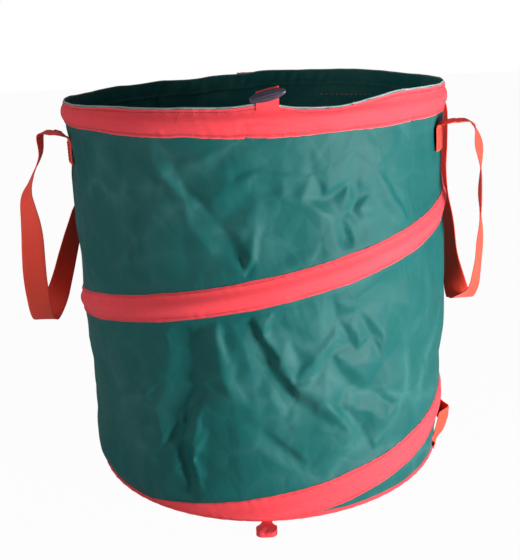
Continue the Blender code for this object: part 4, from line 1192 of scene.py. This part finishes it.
def make_stitching(thread, green_thread):
    """Seams of the tapes, the hem and the handles' sewn ends."""
    around = circle(360)
    out = facing_out(around)
    reach = BAG_RADIUS + rim_shift(around, RIM_OUT)
    lines = [(polar(reach + 0.0013, around, height + 0.9 * rim_shift(around, edge)), out, True)
             for height, edge in ((RIM_TAPE_LOW + 0.0036, RIM_LOWER), (RIM_TAPE_HIGH - 0.0034, RIM_UPPER))]
    rim = sew("rim_stitching", lines, thread)
    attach(rim, "rim")

    height = BAG_HEIGHT - 0.0185 + rim_shift(around, RIM_UPPER)
    inner = sew("hem_stitching", [(polar(reach - 0.0029, around, height), -out, True)], green_thread)
    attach(inner, "rim")

    angle = np.linspace(spiral_angle(BINDING_HEIGHT + 0.018), spiral_angle(RIM_TAPE_LOW - 0.014), 900)
    low, high = spiral_edges(angle)
    lines = []
    for edge in (-1, 1):
        height = (low + high) / 2 + edge * ((high - low) / 2 - 0.0030)
        shown = (height > BINDING_HEIGHT + 0.002) & (height < RIM_TAPE_LOW - 0.002)
        points = polar(wall_radius(angle, height) + 0.0013, angle, height)
        lines.append((points[shown], facing_out(angle)[shown], False))
    spiral = sew("spiral_stitching", lines, thread)
    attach(spiral, "base")
    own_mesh(spiral)

    path = polar(BINDING_RADIUS + 0.0001, around, BINDING_HEIGHT * 0.78)
    binding = sew("binding_stitching", [(path, out, True)], thread)
    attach(binding, "base")

    low, high = HANDLE_SEWN[0] + 0.004, HANDLE_SEWN[1] - 0.003
    box = np.array([(-0.011, low), (0.011, low), (0.011, high), (-0.011, high)])
    share = np.linspace(0, 1, 12)[:, None]
    reach = BAG_RADIUS + SEWN_LIFT + WEBBING + 0.0001
    lines = []
    for side, rear in ((-1, -1), (-1, 1), (1, -1), (1, 1)):
        normal = facing_out(sewn_angle(side, rear))
        for a, b in ((0, 1), (1, 2), (2, 3), (3, 0), (0, 2), (1, 3)):
            flat = box[a] + (box[b] - box[a]) * share
            lines.append((outward(normal, flat[:, 0], reach, flat[:, 1]), np.repeat(normal[None], 12, axis=0), False))
    handles = sew("handle_stitching", lines, thread, pitch=0.0032, length=0.0024)
    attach(handles, "rim")


def make_thread_ends(thread):
    """Loose ends of thread that stand off the seams at the rim."""
    ends = [(-107.5, 0.4520, [(0, 0, 0), (0.0015, 0.0022, -0.003), (0.0006, 0.0030, -0.0055)]),
            (-69.0, 0.4575, [(0, 0, 0), (0.0030, 0.0012, 0.0020), (0.0065, 0.0016, 0.0016)]),
            (-61.5, 0.4570, [(0, 0, 0), (-0.0016, 0.0018, 0.0026), (-0.0020, 0.0020, 0.0048)])]
    for number, (angle, height, steps) in enumerate(ends, 1):
        out = facing_out(angle)
        foot = polar(BAG_RADIUS + 0.0018 + rim_shift(angle, RIM_OUT), angle, height + rim_shift(angle, RIM_UPPER))
        path = foot + outward(out, *np.transpose(steps))
        end = tube(f"rim_thread_end_{number}", through(path, 6), 0.0003, thread, sides=6)
        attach(end, "rim")


# The setting

def seen_by_camera(tree):
    """1 for what the camera sees straight or through something, 0 for light that bounces."""
    rays = tree.nodes.new("ShaderNodeLightPath").outputs
    return math_node(tree, "MAXIMUM", rays["Is Camera Ray"], rays["Is Transmission Ray"])


def make_floor():
    """Pale floor that shows as white where no shadow falls on it."""
    mesh = bpy.data.meshes.new("floor")
    mesh.from_pydata([(-6, -6, 0), (6, -6, 0), (6, 6, 0), (-6, 6, 0)], [], [(0, 1, 2, 3)])
    floor = new_object("floor", mesh)
    mat = bpy.data.materials.new("floor_paper")
    mat.use_nodes = True
    tree = mat.node_tree
    tree.nodes.remove(tree.nodes["Principled BSDF"])
    plain = place_node(tree, "ShaderNodeBsdfDiffuse", {"Color": (0.80, 0.80, 0.80, 1.0)}).outputs[0]
    glow = place_node(tree, "ShaderNodeEmission", {"Color": (1.0, 1.0, 1.0, 1.0), "Strength": 1.0}).outputs[0]
    lit = place_node(tree, "ShaderNodeMixShader", {0: 0.965, 1: plain, 2: glow}).outputs[0]
    shown = place_node(tree, "ShaderNodeMixShader", {0: seen_by_camera(tree), 1: plain, 2: lit}).outputs[0]
    tree.links.new(shown, tree.nodes["Material Output"].inputs["Surface"])
    mesh.materials.append(mat)


def make_world():
    """White surroundings for the camera and reflections, and a plain level of light on the bag."""
    world = bpy.data.worlds.new("studio")
    bpy.context.scene.world = world
    world.use_nodes = True
    tree = world.node_tree
    strength = map_range(tree, seen_by_camera(tree), WORLD_LIGHT, 1.0)
    background = tree.nodes["Background"]
    background.inputs["Color"].default_value = (1.0, 1.0, 1.0, 1.0)
    tree.links.new(strength, background.inputs["Strength"])


def make_lamp(name, place, target, size, watts):
    """Square soft lamp aimed at a point."""
    lamp = bpy.data.lights.new(name, "AREA")
    lamp.shape, lamp.size, lamp.energy = "SQUARE", size, watts
    obj = new_object(name, lamp)
    obj.location = place
    obj.rotation_euler = (Vector(target) - Vector(place)).to_track_quat("-Z", "Y").to_euler()


def make_camera():
    """Camera at the photograph's viewing angle."""
    eye = Vector((0.0458, -1.0466, 0.5453))
    ahead = Vector((-0.0444, 0.9525, -0.3012)).normalized()
    right = Vector((0.9985, 0.0329, -0.0433))
    right = (right - ahead * right.dot(ahead)).normalized()
    up = right.cross(ahead)
    data = bpy.data.cameras.new("camera")
    data.sensor_width = 36.0
    data.lens = 850.2 / 560 * 36.0
    data.clip_start, data.clip_end = 0.05, 50.0
    camera = new_object("camera", data)
    camera.matrix_world = Matrix((*((right[k], up[k], -ahead[k], eye[k]) for k in range(3)), (0, 0, 0, 1)))
    bpy.context.scene.camera = camera


make_camera()
PLAIN_WEAVE = plain_weave_group()
RIBBED_WEBBING = ribbed_webbing_group()
FINE_CREASES = fine_creases_group()
COLOUR_DRIFT = colour_drift_group()
SEWN_EDGES = sewn_edges_group()
STITCH_ROW = stitch_tree()

GREEN_CLOTH = coated_cloth("green_coated_cloth", (0.004, 0.076, 0.072), (0.007, 0.096, 0.092), 0.0)
# The folded edge is the green cloth in a paler colour: painted sheen.
SHEEN_PAINTED_CLOTH = coated_cloth("folded_cloth_edge_painted_sheen", (0.16, 0.24, 0.23), (0.24, 0.30, 0.29), 0.35)
SEWN_TAPE = woven_tape("red_sewn_tape", (0.72, 0.042, 0.058), (0.80, 0.058, 0.074), True)
RED_TAPE = woven_tape("red_woven_tape", (0.70, 0.040, 0.054), (0.78, 0.054, 0.068), False)
RED_WEBBING = ribbed_webbing("red_ribbed_webbing", (0.97, 0.052, 0.022), (1.0, 0.066, 0.032))
RED_THREAD = sewing_thread("red_thread", (0.62, 0.03, 0.045))
GREEN_THREAD = sewing_thread("green_thread", (0.02, 0.10, 0.095))
DARK_PLASTIC = moulded_plastic("dark_moulded_plastic", (0.028, 0.024, 0.040))
STEEL = drawn_steel("drawn_spring_steel")

make_rim_tape(SEWN_TAPE)
make_rim_edge(SHEEN_PAINTED_CLOTH, STEEL)
make_hem(GREEN_CLOTH)
make_spiral(SEWN_TAPE, STEEL)
make_wall(GREEN_CLOTH)
make_base(GREEN_CLOTH)
make_binding(RED_TAPE)
make_handles(RED_WEBBING)
for toggle_name, toggle_facts in TOGGLES.items():
    make_toggle_tab(toggle_name, toggle_facts, RED_TAPE)
    make_toggle(toggle_name, toggle_facts, DARK_PLASTIC)
for loop_name, loop_angle in LOOPS.items():
    make_closure_loop(loop_name, loop_angle, RED_TAPE)
make_base_handle(RED_WEBBING)
make_stitching(RED_THREAD, GREEN_THREAD)
make_thread_ends(RED_THREAD)

for wire_node in ("rim_spring_ring", "rim_ring_sleeve", "base_spring_ring", "base_ring_sleeve"):
    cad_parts[wire_node].data.materials.clear()
    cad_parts[wire_node].data.materials.append(STEEL)

make_floor()
make_world()
make_lamp("key", (1.32, -0.93, 0.06), (0.0, 0.0, 0.18), 0.5, 80)
make_lamp("fill", (-1.5, -1.0, 0.7), (0.0, 0.0, 0.2), 1.0, 11)

bpy.context.scene.view_settings.view_transform = "Standard"
